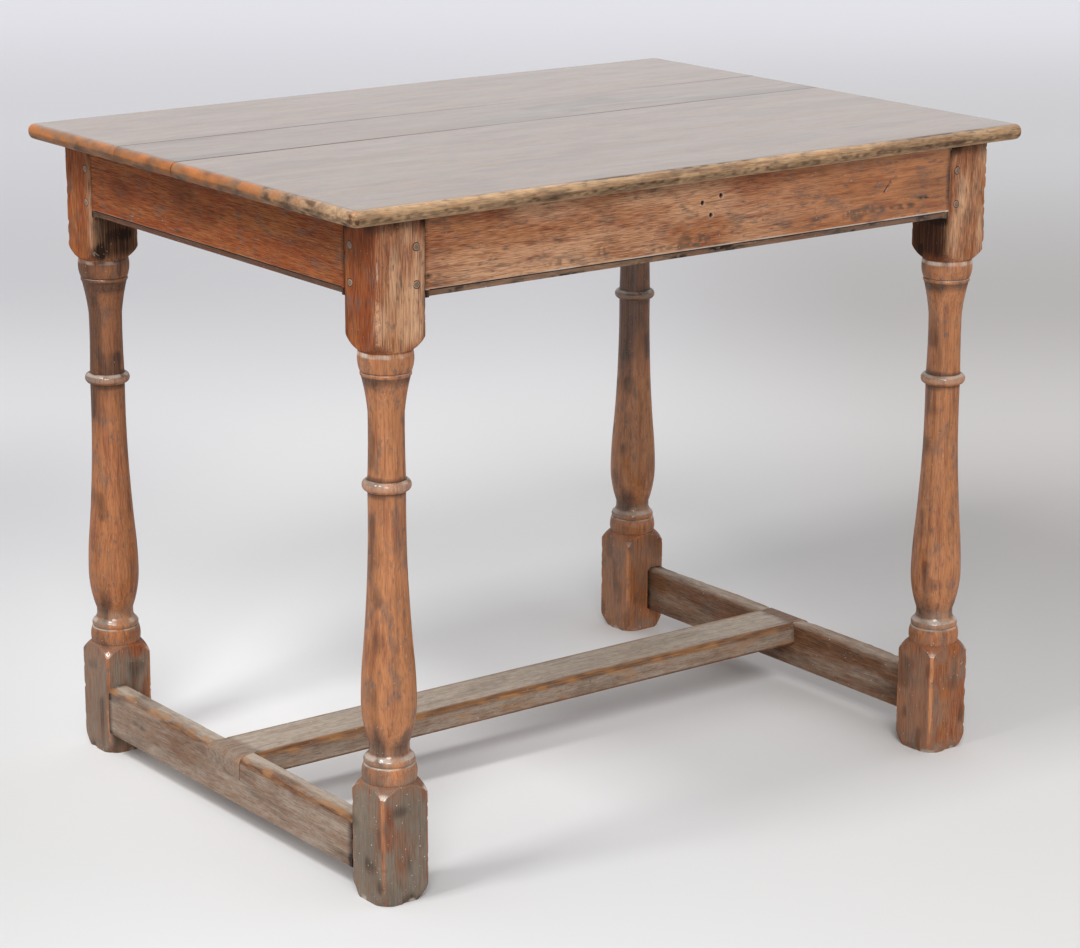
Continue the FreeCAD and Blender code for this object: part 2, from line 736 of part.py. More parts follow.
def check_and_write(pieces):
    doc.recompute()
    for item in doc.Objects:
        if "Invalid" in item.State or "Error" in item.State:
            raise RuntimeError(f"{item.Label} did not rebuild: {item.State}")
    for piece in pieces:
        if piece.Shape.isNull() or not piece.Shape.isValid():
            raise RuntimeError(f"{piece.Label} has no valid shape")
    os.makedirs("parts", exist_ok=True)
    for piece in pieces:
        piece.Shape.exportStep(f"parts/{piece.Label}.step")
        print(piece.Label, len(piece.Shape.Solids), "solids", round(piece.Shape.Volume), "mm3")


rails, rail_tools = make_rails()
stretchers, foot_mortises = make_stretchers()
check_and_write(make_top(rail_tools) + make_legs(rail_tools, foot_mortises) + rails + stretchers)
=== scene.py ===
# %% [markdown]
# # A small joined oak table
#
# The table is three boards on four turned legs, with rails pegged into the legs and an H of low stretchers.
# The imported part gives every place and size. This lesson gives it the surface of old oak: each wooden piece
# is worked out again as a numpy surface with worn edges, and marks on its points tell the material where
# the wood is rubbed pale, dirty, dusty, faded or polished, and where shade and highlights are painted on.

import bpy
import numpy as np
from mathutils import Matrix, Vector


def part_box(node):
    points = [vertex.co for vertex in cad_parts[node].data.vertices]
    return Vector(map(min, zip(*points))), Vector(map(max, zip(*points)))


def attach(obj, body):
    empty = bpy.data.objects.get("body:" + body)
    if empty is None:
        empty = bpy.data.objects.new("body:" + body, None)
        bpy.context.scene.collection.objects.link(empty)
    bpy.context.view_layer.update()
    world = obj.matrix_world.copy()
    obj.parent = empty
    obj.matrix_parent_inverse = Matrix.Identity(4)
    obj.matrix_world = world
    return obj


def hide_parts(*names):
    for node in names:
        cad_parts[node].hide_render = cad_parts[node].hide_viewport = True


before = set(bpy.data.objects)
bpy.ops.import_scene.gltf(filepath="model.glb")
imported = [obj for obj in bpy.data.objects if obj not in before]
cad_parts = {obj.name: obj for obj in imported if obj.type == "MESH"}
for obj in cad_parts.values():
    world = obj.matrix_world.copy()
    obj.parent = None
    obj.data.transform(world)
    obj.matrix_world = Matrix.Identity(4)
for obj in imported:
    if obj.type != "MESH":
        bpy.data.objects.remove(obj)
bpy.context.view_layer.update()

# %% [markdown]
# ## Places from the frame
#
# A table is easiest to draw in millimetres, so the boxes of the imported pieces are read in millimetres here,
# and only the last step of each piece turns them into Blender's metres.

# %% Read the main places
MM = 0.001


def span(node):
    """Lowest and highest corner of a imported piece, in millimetres."""
    return [np.array(corner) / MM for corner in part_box(node)]


leg_low, leg_high = span("leg_front_right")
block = leg_high[0] - leg_low[0]
leg_height = leg_high[2]
leg_out = (leg_low + leg_high)[:2] / 2 * (1, -1)
frame_half = leg_out + block / 2
shoulder_half = leg_out - block / 2
rail_low, rail_high = span("rail_front")
rail_thickness = rail_high[1] - rail_low[1]
rail_height = rail_high[2] - rail_low[2]
print("leg", block, leg_height, "frame", frame_half, "rail", rail_thickness, rail_height)

# %% [markdown]
# ## Tools for worn surfaces
#
# Nothing on an old table is quite flat. A field of smooth random hills, fixed by a seed, makes the waves
# left by the plane, the chips along an edge and the patches of wax. The same field serves shapes and marks,
# so a chip in the mesh and the pale wood in it can lie at the same place. A cell of the field is given in
# millimetres, and is long where the marks of tools and feet run along the grain.

# %% Random hills and arcs


def points_of(*parts):
    """Points from their coordinates, which are stretched to one common grid."""
    return np.stack(np.broadcast_arrays(*parts), axis=-1)


def hills(points, cell, seed):
    """Heights from 0 to 1: random values on a lattice of that cell, with smooth steps between."""
    place = points / np.asarray(cell, float)
    corner = np.floor(place)
    part = place - corner
    part = part * part * (3 - 2 * part)
    total = np.zeros(points.shape[:-1])
    for step in np.ndindex(2, 2, 2):
        spread = (corner + step) @ np.array((127.1, 311.7, 74.7)) + seed * 19.19
        height = np.sin(spread) * 43758.5453 % 1
        weight = np.where(step, part, 1 - part).prod(axis=-1)
        total = total + height * weight
    return total


def ramp(values, low, high):
    """0 at low, 1 at high, and a smooth step between them."""
    share = np.clip((values - low) / (high - low), 0, 1)
    return share * share * (3 - 2 * share)


def worn_min(first, second, wear):
    """The smaller of two distances, with the corner between them worn round over about that length."""
    return -wear * np.logaddexp(-first / wear, -second / wear)


def arc(start, through, finish, count):
    """Points on the circle through three points. Its centre is equally far from all of them."""
    start, through, finish = (np.array(point, float) for point in (start, through, finish))
    sides = np.array([through - start, finish - start])
    squares = [(through @ through - start @ start) / 2, (finish @ finish - start @ start) / 2]
    centre = np.linalg.solve(sides, squares)
    turns = [np.arctan2(*(point - centre)[::-1]) for point in (start, through, finish)]
    bends = (np.diff(turns) + np.pi) % (2 * np.pi) - np.pi
    angles = turns[0] + np.linspace(0, 1, count) * bends.sum()
    return centre + np.hypot(*(start - centre)) * points_of(np.cos(angles), np.sin(angles))


print("hills at the origin", hills(np.zeros((1, 3)), 10, 1))

# %% [markdown]
# ## From grids to meshes
#
# Every wooden piece is one or two grids of points. Neighbours in a grid become quads, and an edge that
# turns by more than a set angle is kept crisp, as a saw or a chisel leaves it.

# %% Grids into meshes
CRISP_TURN = np.radians(48)


def grid_faces(rows, columns, wrap=False):
    """Quads between neighbours in a grid numbered row by row. Wrap joins the last column to the first."""
    number = np.arange(rows * columns).reshape(rows, columns)
    if wrap:
        number = np.concatenate([number, number[:, :1]], axis=1)
    corners = [number[:-1, :-1], number[:-1, 1:], number[1:, 1:], number[1:, :-1]]
    return np.stack(corners, axis=-1).reshape(-1, 4)


def bar_faces(rows, columns):
    """A section carried along a line: the sides, and each end as one polygon, the first facing backwards."""
    loop = np.arange(columns)[None]
    return [grid_faces(rows, columns, wrap=True), loop[:, ::-1], loop + (rows - 1) * columns]


def make_piece(name, points, faces, marks, node):
    """A smooth mesh from points in millimetres, with its marks as attributes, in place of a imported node."""
    mesh = bpy.data.meshes.new(name)
    points = points.reshape(-1, 3)
    corners = np.concatenate([part.ravel() for part in faces])
    counts = np.concatenate([np.full(len(part), part.shape[1]) for part in faces])
    mesh.vertices.add(len(points))
    mesh.vertices.foreach_set("co", (points * MM).ravel())
    mesh.loops.add(len(corners))
    mesh.loops.foreach_set("vertex_index", corners)
    mesh.polygons.add(len(counts))
    mesh.polygons.foreach_set("loop_start", np.cumsum(counts) - counts)
    mesh.polygons.foreach_set("use_smooth", np.ones(len(counts), bool))
    mesh.update(calc_edges=True)
    mesh.set_sharp_from_angle(angle=CRISP_TURN)
    for mark, values in marks.items():
        kind, field = ("FLOAT_VECTOR", "vector") if values.ndim == 2 else ("FLOAT", "value")
        mesh.attributes.new(mark, kind, "POINT").data.foreach_set(field, values.ravel().astype(np.float32))
    piece = bpy.data.objects.new(name, mesh)
    bpy.context.scene.collection.objects.link(piece)
    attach(piece, "root")
    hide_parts(node)
    print(name, len(points), "points,", len(counts), "faces")
    return piece


# %% [markdown]
# The marks are the same on every wooden piece. `grain` says where a point was in its tree, so that streaks
# and pores run through a piece as they do in wood. `wear` is wood rubbed back to a pale arris, and on the
# legs it also carries painted highlights. `dirt_and_shade` is old wax and soot, and painted shade on the legs
# and under the top of the rails. `dust` is the grey film on low and level faces, and on the ledges of the
# turnings it is partly a painted highlight. `bleach` is wood faded by light, which is dry and a little rough,
# and
# `polish` is the gloss that hands have given it.

# %% Marks on the wood


def wood_marks(grid, along, seed, wear=0.0, dirt_and_shade=0.0, dust=0.0, bleach=0.0, polish=0.3):
    """Marks for a grid of points. Its grain runs along that axis, in metres from a pith set by the seed."""
    pith = np.random.default_rng(seed).uniform((-9, 0.03, 0.05), (9, 0.07, 0.11))
    marks = {"grain": (np.roll(grid, -along, axis=-1) * MM + pith).reshape(-1, 3)}
    layers = {"wear": wear, "dirt_and_shade": dirt_and_shade, "dust": dust, "bleach": bleach, "polish": polish}
    for mark, values in layers.items():
        marks[mark] = np.clip(np.broadcast_to(values, grid.shape[:-1]), 0, 1).ravel()
    return marks


def spot(grid, place, size):
    """1 at a place and less around it, as a bell of that size along each axis."""
    return np.exp(-(((grid - place) / size) ** 2).sum(axis=-1))


# %% [markdown]
# ## Turned legs
#
# A leg starts as a square blank. The lathe takes it round between the two blocks, and where the gouge runs
# out into the square it leaves arched shoulders, which turners call pommels. The profile is drawn with
# arcs, as a turner's template is. Each arc has a start, a point that it passes and an end, all as radius
# and height.

# %% The turner's profile
LOWER_BLOCK, UPPER_BLOCK, POMMEL = 126.5, 131.5, 14.5
FOOT_WEAR_HEIGHT, FOOT_WEAR_DEPTH = 20, 8
COLLAR, COLLAR_ROOT = 28.2, 27.2
BASE_BEAD, BASE_BEAD_ROOT = 26.2, 25.0
NECK, BELLY, FLARE = 20.5, 28.2, 25.5
SHAFT, WAIST, RING = 19.2, 18.35, 24.85
NECK_BEAD, NECK_BEAD_ROOT = 25.9, 24.7
ROUND_BULGE = 0.37
corner_radius = block / 2 * np.sqrt(2)
low, high = LOWER_BLOCK, leg_height - UPPER_BLOCK
shoulder = corner_radius - (corner_radius - COLLAR_ROOT) * ROUND_BULGE
collar_top, bead_top, neck_low, neck_top = low + 18, low + 25.5, low + 32.8, low + 39.3
belly_at, flare_at, ring_at = low + 82.8, low + 134.8, low + 308
ring_low, ring_top = ring_at - 6, ring_at + 6
collar_foot, neck_bead_foot, waist_top = high - 21, high - 26.5, high - 63.5
turning = [
    arc((corner_radius, low - POMMEL), (shoulder, low - POMMEL / 2), (COLLAR_ROOT, low), 24),
    arc((COLLAR_ROOT, low), (COLLAR, low + 7.6), (COLLAR - 1.8, collar_top), 16),
    arc((BASE_BEAD_ROOT, collar_top + 0.6), (BASE_BEAD, low + 22), (BASE_BEAD_ROOT, bead_top), 12),
    arc((BASE_BEAD_ROOT, bead_top), (21.8, low + 29), (NECK, neck_low), 10),
    arc((NECK, neck_top), (26.2, (neck_top + belly_at) / 2), (BELLY, belly_at), 24),
    arc((BELLY, belly_at), (27.5, (belly_at + flare_at) / 2), (FLARE, flare_at), 20),
    arc((FLARE, flare_at), (20.3, (flare_at + ring_low) / 2), (SHAFT, ring_low), 50),
    arc((SHAFT, ring_low), (RING, ring_at), (SHAFT, ring_top), 18),
    arc((SHAFT, ring_top), (WAIST, ring_at + 36.5), (WAIST, waist_top), 24),
    arc((WAIST, waist_top), (20.8, high - 45), (NECK_BEAD_ROOT, neck_bead_foot), 22),
    arc((NECK_BEAD_ROOT, neck_bead_foot), (NECK_BEAD, high - 24), (NECK_BEAD_ROOT, collar_foot - 0.6), 10),
    arc((COLLAR - 2.2, collar_foot), (COLLAR, high - 8.8), (COLLAR_ROOT, high), 16),
    arc((COLLAR_ROOT, high), (shoulder, high + POMMEL / 2), (corner_radius, high + POMMEL), 24),
]
foot_radius = corner_radius - FOOT_WEAR_DEPTH
foot_bulge = (corner_radius - FOOT_WEAR_DEPTH * ROUND_BULGE, FOOT_WEAR_HEIGHT / 2)
foot = arc((foot_radius, 0), foot_bulge, (corner_radius, FOOT_WEAR_HEIGHT), 14)
uncut = corner_radius + 2
lower_square = points_of(uncut, np.linspace(FOOT_WEAR_HEIGHT, low - POMMEL, 50)[1:-1])
upper_square = points_of(uncut, np.linspace(high + POMMEL, leg_height, 60)[1:])
profile = np.concatenate([foot, lower_square, *turning, upper_square])
step = np.hypot(*np.diff(profile, axis=0).T)
profile = profile[np.append(True, step > 0.01)]
print("profile of", len(profile), "points")

# %% [markdown]
# The radius at a height and an angle is simply the smaller of two: that of the square blank, whose arrises
# are planed off and chipped, and that of the lathe's profile. Where the two meet, the pommel appears by
# itself.

# %% Blank and turning
OUTER_CHAMFER, INNER_CHAMFER, FOOT_CHAMFER = 2.2, 0.9, 1.2
CORNER_WEAR, SHOULDER_WEAR = 0.35, 0.45
TURNED_WAVE, PLANED_WAVE, PIT = 0.7, 0.25, 0.4
FRAY_HEIGHT, FRAY_DEPTH = 14, 2
EVEN_STEP, AVERAGE_STEPS = 0.5, 37


def crest_of(profile):
    """How far each point stands out from the profile's average over a short length either side, in mm."""
    even = np.arange(0, leg_height, EVEN_STEP)
    radius = np.minimum(np.interp(even, profile[:, 1], profile[:, 0]), COLLAR)
    window = np.ones(AVERAGE_STEPS) / AVERAGE_STEPS
    average = np.convolve(np.pad(radius, AVERAGE_STEPS // 2, mode="edge"), window, mode="valid")
    return np.interp(profile[:, 1:], even, radius - average)


def leg_radius(lathe, height, angle, signs, seed):
    """The smaller of blank and turning. The blank's arrises are cut more at the table's outer corner."""
    cosine, sine = np.cos(angle), np.sin(angle)
    ray = points_of(cosine * block / 2, sine * block / 2, height)
    outer = (np.sign(cosine) == signs[0]) & (np.sign(sine) == signs[1])
    chips = ramp(hills(ray, (7, 7, 5), seed), 0.62, 0.9) * 2.2 + hills(ray, 26, seed + 1) * 1.4 - 0.7
    chamfer = np.where(outer, OUTER_CHAMFER, INNER_CHAMFER + FOOT_CHAMFER * ramp(height, low + 40, low))
    chamfer = np.clip(chamfer * (1 + 0.25 * chips) + 0.4 * chips * outer, 0.5, 7)
    from_corner = np.abs(np.mod(angle, np.pi / 2) - np.pi / 4)
    corner_cut = (block - chamfer) / np.sqrt(2) / np.cos(from_corner)
    square = block / 2 / np.maximum(np.abs(cosine), np.abs(sine))
    blank = worn_min(np.broadcast_to(square, corner_cut.shape), corner_cut, CORNER_WEAR)
    turned = (height > low) & (height < high)
    shouldered = worn_min(blank, np.broadcast_to(lathe, blank.shape), SHOULDER_WEAR)
    radius = np.where(turned, lathe, shouldered)
    wave = np.where(turned, TURNED_WAVE, PLANED_WAVE)
    radius = radius + (hills(ray, (40, 40, 60), seed + 2) - 0.5) * wave
    radius = radius - ramp(hills(ray, (5, 5, 7), seed + 3), 0.8, 0.97) * PIT
    frayed = ramp(hills(ray, 9, seed + 4), 0.45, 0.9) * ramp(height, FRAY_HEIGHT, 0)
    return radius - frayed * FRAY_DEPTH, blank, outer, turned, from_corner


print("crests of up to", crest_of(profile).max(), "mm")

# %% [markdown]
# The crests of a turning are rubbed by dusters and sleeves, and the hollows keep dirt and old wax. A crest
# is where the profile stands out from its own running average, so a little arithmetic finds both. The four
# legs have not led the same life. The back ones get painted shade on their turnings under the top. The feet
# on the left are the dustiest. On every foot the arris is kept bright by shoes, and a painted highlight lies
# where it runs out into the pommel. The upper block of the front left leg has a pale streak on its face, and
# is dark under the top. Every leg also has painted shade at its top, on its inner faces under the rails,
# under the neck bead, above the neck at its base and down the sides of its turning, and painted highlights on
# the top rim of its upper collar and on the upward ledges of the turning, where dust lies as well.

# %% Cut the legs
ANGLES, ARRIS_CROWDING = 192, 0.6
DARKEST_TURNING = 0.72
# Corner of the table, polish of the turning, dust on the foot, painted highlight on its lower pommel, gloss
# of its faces, painted shade on the turning under the top, and how far above the ring it begins, in mm.
LEGS = {
    "leg_front_left": ((-1, -1), 0.85, 0.85, 0.9, 0.0, 0.0, 0),
    "leg_front_right": ((1, -1), 0.82, 0.48, 0.5, 0.4, 0.0, 0),
    "leg_back_left": ((-1, 1), 0.62, 0.72, 0.5, 0.3, 0.45, -100),
    "leg_back_right": ((1, 1), 0.95, 0.45, 0.4, 1.0, 0.62, -150),
}
MARKED_LEG = "leg_front_left"
pale_place = (10 - leg_out[0], 0.5 - frame_half[1], rail_low[2] - 1)
dark_place = (10 - leg_out[0], 0.5 - frame_half[1], leg_height + 13)


def make_leg(name, seed, signs, polished, dusty, rubbed, glossy, shaded, shade_from):
    """A leg: its radius over a grid of heights and angles, with a cap at each end."""
    even = np.linspace(0, 2 * np.pi, ANGLES, endpoint=False)
    angle = even + ARRIS_CROWDING * np.sin(4 * even) / 4
    cosine, sine = np.cos(angle), np.sin(angle)
    lathe, height = profile[:, :1], profile[:, 1:]
    radius, blank, outer, turned, from_corner = leg_radius(lathe, height, angle, signs, seed)
    centre = leg_out * signs
    grid = points_of(centre[0] + radius * cosine, centre[1] + radius * sine, height)

    crest = crest_of(profile) * turned
    patchy = hills(grid, (8, 8, 11), seed + 5)
    mostly = ramp(patchy, 0.2, 0.7)
    arris = ramp(from_corner, 0.05, 0.01) * (height > high) * np.where(outer, 0.8, 0.5)
    pommels = ramp(np.abs(blank - lathe), 1.2, 0.1) * ~turned
    cut_round = (lathe < blank) & (height > low - 2 * POMMEL) & (height < low)
    # The lower pommel gets a painted highlight, pale as rubbed wood, at its peak on the arris and along the V
    # where its edge meets the square. The leg's rubbed value sets how strong it is.
    painted_peak_highlight = ramp(from_corner, 0.3, 0.05) * ramp(height, low - POMMEL * 0.25, low - POMMEL * 0.6)
    painted_peak_highlight = np.maximum(painted_peak_highlight, pommels * ramp(from_corner, 0.5, 0.25) * 0.5) * cut_round
    # Upward-facing ledges of the turning are painted pale, as dust and as a painted highlight from the light
    # above.
    slope = np.gradient(lathe[:, 0]) / np.maximum(np.gradient(height[:, 0]), MM)
    ledge_dust_and_highlight = ramp(-slope, 0.12, 0.9)[:, None] * turned * (height > collar_top - 9)
    # The top rim of the upper collar gets a painted highlight, less where the leg has painted shade under the
    # top.
    painted_collar_highlight = ramp(height, high - 7, high - 4) * turned * (1 - shaded)
    wear = np.maximum(arris, pommels * 0.5) * ramp(patchy, 0.5, 0.85) * (height > high)
    wear = wear + ramp(crest, 0.8, 2.8) * 0.35 * (height > ring_low) + painted_peak_highlight * rubbed
    wear = np.maximum(wear, ledge_dust_and_highlight * (0.2 + 0.4 * mostly))
    wear = np.maximum(wear, painted_collar_highlight * (0.25 + 0.55 * mostly))
    wear = np.maximum(wear, ramp(height, 8, 1) * ramp(patchy, 0.4, 0.7) * 0.6)

    in_foot = ramp(height, low + 44, low - 30)
    base = ramp(height, collar_top - 3, collar_top + 2) * ramp(height, neck_top + 8, neck_top - 4)
    inner = np.maximum(-cosine * signs[0], -sine * signs[1])
    shade_at = ring_at + shade_from
    # Painted shade: at the leg's top under the tabletop, on the inner faces where the rails and top meet it,
    # on the turnings of the back legs under the top, under the neck bead and above the neck at the base. The
    # hollows and smears are dirt and old wax, and the foot's dirt goes with its dust.
    bead_shade = ramp(height, neck_bead_foot - 16, neck_bead_foot)
    # Painted shade down the sides of the turning: all the way up on the side that faces left, and lower down
    # on the side that faces right.
    sides = ramp(-cosine, 0.55, 0.95) + ramp(cosine, 0.55, 0.95) * ramp(height, flare_at + 40, belly_at)
    hollows = ramp(-crest, 0.5, 2.4) * 0.75
    painted_shade_at_leg_top = ramp(height, leg_height - 20, leg_height) * 0.6
    inside = ramp(inner, 0.5, 0.85) * ramp(height, high - 12, high + 12) * 0.8
    painted_shade_under_top = ramp(height, shade_at, shade_at + 130) * shaded * turned
    painted_shade_below_bead = bead_shade * ramp(height, neck_bead_foot + 2, neck_bead_foot) * 0.6
    painted_shade_above_neck = ramp(height, neck_top + 28, neck_top) * ramp(height, neck_low, neck_top) * 0.35
    on_foot = in_foot * dusty * (0.25 + 0.25 * hills(grid, (22, 22, 50), seed + 9))
    smears = ramp(hills(grid, (12, 12, 20), seed + 6), 0.55, 0.85) * 0.3
    dirt_and_shade = hollows + painted_shade_at_leg_top + inside + painted_shade_under_top + painted_shade_below_bead + painted_shade_above_neck + on_foot + smears
    dirt_and_shade = dirt_and_shade + sides * turned * 0.28
    dirt_and_shade = np.where(turned, np.minimum(dirt_and_shade, DARKEST_TURNING), dirt_and_shade)

    front = ramp(-sine, 0.3, 0.9)
    faded = 0.45 + 0.5 * ramp(hills(grid, (16, 16, 50), seed + 7), 0.3, 0.7)
    bleach = front * ramp(height, high - 30, high + 30) * faded
    foot_arris = ramp(from_corner, 0.09, 0.02) * ramp(height, low, low - POMMEL)
    foot_arris = foot_arris * (0.4 + 0.6 * ramp(height, 10, 60))
    polish = turned * (polished - 0.2 * in_foot) + 0.05 + base * 0.3
    polish = polish + (foot_arris + in_foot * glossy * 0.6) * ~turned
    dust = np.maximum(np.maximum(in_foot * dusty, base * 0.5), ledge_dust_and_highlight * 0.8) * (1 - 0.8 * foot_arris)
    bared = ramp(hills(grid, (16, 16, 24), seed + 8), 0.4, 0.75) * front
    dust = dust * (1 - 0.5 * bared) + ramp(height, 16, 4) * ramp(patchy, 0.4, 0.8) * 0.4
    if name == MARKED_LEG:
        bleach = bleach + spot(grid, pale_place, (8, 12, 26)) * 0.6
        dirt_and_shade = dirt_and_shade + spot(grid, dark_place, (26, 12, 9)) * 0.8
    marks = wood_marks(grid, 2, seed, wear, dirt_and_shade, dust, bleach, polish)

    rows, count = len(profile), grid[..., 0].size
    first = np.arange(ANGLES)
    last = first + (rows - 1) * ANGLES
    under = np.stack([np.roll(first, -1), first, np.full(ANGLES, count)], axis=1)
    over = np.stack([last, np.roll(last, -1), np.full(ANGLES, count + 1)], axis=1)
    faces = [grid_faces(rows, ANGLES, wrap=True), under, over]
    points = np.concatenate([grid.reshape(-1, 3), [[*centre, 0], [*centre, leg_height]]])
    marks = {mark: np.concatenate([values, values[:1], values[-1:]]) for mark, values in marks.items()}
    return make_piece(f"turned_{name}", points, faces, marks, name)


legs = [make_leg(name, 40 + 10 * number, *LEGS[name]) for number, name in enumerate(LEGS)]

# %% [markdown]
# ## The top boards
#
# Each board is two sheets, its face and its underside, joined by a narrow band at mid thickness. Towards an
# edge the face drops along a quarter circle, so the grid lines there are spaced as equal turns of that
# circle. At a corner the square of grid lines is drawn onto a quarter disc, which rounds it without a seam.

# %% Grid lines across a board
top_low, top_high = span("top_board_front")
nose = (top_high[2] - top_low[2]) * 0.46
middle_low, middle_high = span("top_board_middle")
board_joints = [(top_high[1] + middle_low[1]) / 2, (middle_high[1] + span("top_board_back")[0][1]) / 2]
NOSE_TURNS = 13


def lines_across(low, high, low_nose, high_nose, spacing):
    """Even lines over a board's flat, and equal turns of a quarter circle round the nose at each edge."""
    turns = 1 - np.cos(np.linspace(0, np.pi / 2, NOSE_TURNS))
    flat = np.linspace(low + low_nose, high - high_nose, int((high - low) / spacing))
    return np.concatenate([low + turns[:-1] * low_nose, flat, high - turns[-2::-1] * high_nose])


def round_corner(gap_x, gap_y, radius):
    """Distances from two edges, moved so that the corner square of that side becomes a quarter disc."""
    along, across = np.clip(radius - gap_x, 0, None), np.clip(radius - gap_y, 0, None)
    reach = np.maximum(along, across)
    turn = np.minimum(along, across) / np.maximum(reach, MM) * np.pi / 4
    turn = np.where(along >= across, turn, np.pi / 2 - turn)
    inside = (along > 0) & (across > 0)
    new_x = np.where(inside, radius - reach * np.cos(turn), gap_x)
    new_y = np.where(inside, radius - reach * np.sin(turn), gap_y)
    return new_x, new_y


def drop(gap, radius):
    """How far a quarter circle of that radius has dropped at this distance from its edge."""
    return radius - np.sqrt(radius**2 - np.clip(radius - gap, 0, radius) ** 2)


print("nose of the top", nose)

# %% [markdown]
# The outer edges have had the most knocks: dents and small chips all along the nose, and dark gouges on the
# front arris. The ends are mottled, rubbed orange and dark by turns, and plain tan near the front corners.
# Inside the joints the boards are only eased, and dirt lies there. The nose is darker in small spots, most
# on its lower half. The top was waxed and wiped for centuries, so the stains on it are spread along the
# grain, most on the middle board. The underside was never finished: it has no wax, only dust.

# %% Plane the boards
JOINT_DIRT, JOINT_WIDTH, JOINT_EASE = (0.8, 0.4), 1.8, 0.6
LINE_SPACING = (2.2, 4)
PLANE_WAVE, CHIP_DEPTH, DENT_DEPTH, FLAT_SHARE = 0.3, 0.7, 0.5, 0.6


def make_board(name, seed, front_eases=(), back_eases=(), stained=0.55):
    """Face height: flat, and near each edge lower by what a quarter circle has dropped at that distance."""
    low, high = span(name)
    noses = [nose if eases else JOINT_EASE for eases in (front_eases, back_eases)]
    lines_x = lines_across(low[0], high[0], nose, nose, LINE_SPACING[0])
    lines_y = lines_across(low[1], high[1], *noses, LINE_SPACING[1])
    x, y = np.meshgrid(lines_x, lines_y)
    ends = [x - low[0], high[0] - x]
    sides = [y - low[1], high[1] - y]
    falls = [drop(gap, radius) for gap, radius in zip((*ends, *sides), (nose, nose, *noses))]
    fall = np.maximum.reduce(falls)
    tilts = [np.clip(1 - gap / nose, 0, 1) for gap in (*ends, *sides)]
    tilts[2:] = [tilt * bool(eases) for tilt, eases in zip(tilts[2:], (front_eases, back_eases))]
    tilt = np.maximum.reduce(tilts)
    out_x, out_y = tilts[1] - tilts[0], tilts[3] - tilts[2]
    at_ends = ramp(tilts[0] + tilts[1], 0.05, 0.3)
    at_front = ramp(tilts[2], 0.01, 0.08)
    at_arris = ramp(tilts[2], 0.05, 0.2) * ramp(tilts[2], 0.6, 0.35)
    for side, eases in enumerate((front_eases, back_eases)):
        for end, ease in enumerate(eases):
            new_x, new_y = round_corner(ends[end], sides[side], nose + ease)
            x = x + (new_x - ends[end]) * (1, -1)[end]
            y = y + (new_y - sides[side]) * (1, -1)[side]

    sheets, wears, dirts = [], [], []
    for sign, level in ((1, high[2]), (-1, low[2])):
        grid = points_of(x, y, level - sign * fall)
        wave = (hills(grid, (110, 40, 30), seed) - 0.5) * PLANE_WAVE * (1 - tilt) * (sign > 0)
        chip = ramp(hills(grid, (9, 5, 3), seed + 1), 0.66, 0.95) * ramp(tilt, 0.1, 0.6)
        dent = hills(grid, (34, 34, 9), seed + 2) * ramp(tilt, 0, 0.5)
        push = -(chip * CHIP_DEPTH + dent * DENT_DEPTH)
        lift = wave + sign * (1 - tilt) * push * FLAT_SHARE
        grid = grid + points_of(out_x * push, out_y * push, lift)
        near_front = ramp(grid[..., 1], -frame_half[1] / 4, -frame_half[1]) * bool(front_eases)
        rubbed = at_ends * (0.2 + 0.7 * hills(grid, (8, 14, 8), seed + 3)) * (1 - 0.75 * near_front)
        rubbed = rubbed + at_front * 0.35 * hills(grid, (14, 6, 3), seed + 9)
        joints = zip(board_joints, JOINT_DIRT)
        joint = sum(ramp(np.abs(y - place), JOINT_WIDTH, 0.5) * amount for place, amount in joints)
        under = ramp(tilt, 0.4, 1) * (0.3 if sign > 0 else 0.8) * hills(grid, (5, 5, 2), seed + 5) * 0.9
        wiped = 0.6 * hills(grid, (130, 26, 30), seed + 4) + 0.4 * hills(grid, (34, 7, 9), seed + 11)
        stain = (0.5 + 0.5 * ramp(wiped, 0.45, 0.75)) * stained * (1 - 0.25 * ramp(tilt, 0.05, 0.3))
        gouge = ramp(hills(grid, (70, 9, 9), seed + 7), 0.35, 0.7) * at_arris * (sign > 0)
        gouge = gouge * ramp(hills(grid, (11, 2, 2), seed + 8), 0.3, 0.8)
        mottle = at_ends * ramp(hills(grid, (5, 9, 5), seed + 10), 0.55, 0.85) * 0.7
        sheets.append(grid)
        wears.append(rubbed * (1 if sign > 0 else 0.6))
        dirts.append(joint + under + stain + gouge + mottle)
    grid = np.stack(sheets)
    dry = ramp(tilts[2] + tilts[3], 0, 0.3) * (0.6 + 0.6 * hills(grid, (7, 4, 2.5), seed + 6))
    tan_end = at_ends * ramp(grid[..., 1], 0, low[1] - 60) * bool(front_eases)
    waxed = np.stack([0.7 - 0.65 * tilt, 0 * tilt])
    raw = np.stack([0 * tilt, 0.55 * (1 - tilt)])
    marks = wood_marks(grid, 0, seed, wears, dirts, raw, np.maximum(dry, tan_end), waxed)

    rows, columns = x.shape
    number = np.arange(rows * columns).reshape(rows, columns)
    rim = np.concatenate([number[0, :-1], number[:-1, -1], number[-1, :0:-1], number[:0:-1, 0]])
    below, onward = rim + number.size, np.roll(rim, -1)
    face = grid_faces(rows, columns)
    rim_faces = np.stack([below, onward + number.size, onward, rim], axis=1)
    faces = [face, face[:, ::-1] + number.size, rim_faces]
    return make_piece(f"planed_{name}", grid, faces, marks, name)


boards = [
    make_board("top_board_front", 100, front_eases=(1.5, 2.5)),
    make_board("top_board_middle", 110, stained=0.95),
    make_board("top_board_back", 120, back_eases=(2.5, 5)),
]

# %% [markdown]
# ## Rails
#
# A rail lies along one side of the frame, so it is easiest to draw as if it were the front one, by its
# length, its depth and its height, and then to turn it to its side. The screws that hold the top stand in
# gouged pockets inside the rails: three to a long rail, and one to each board along a short one.

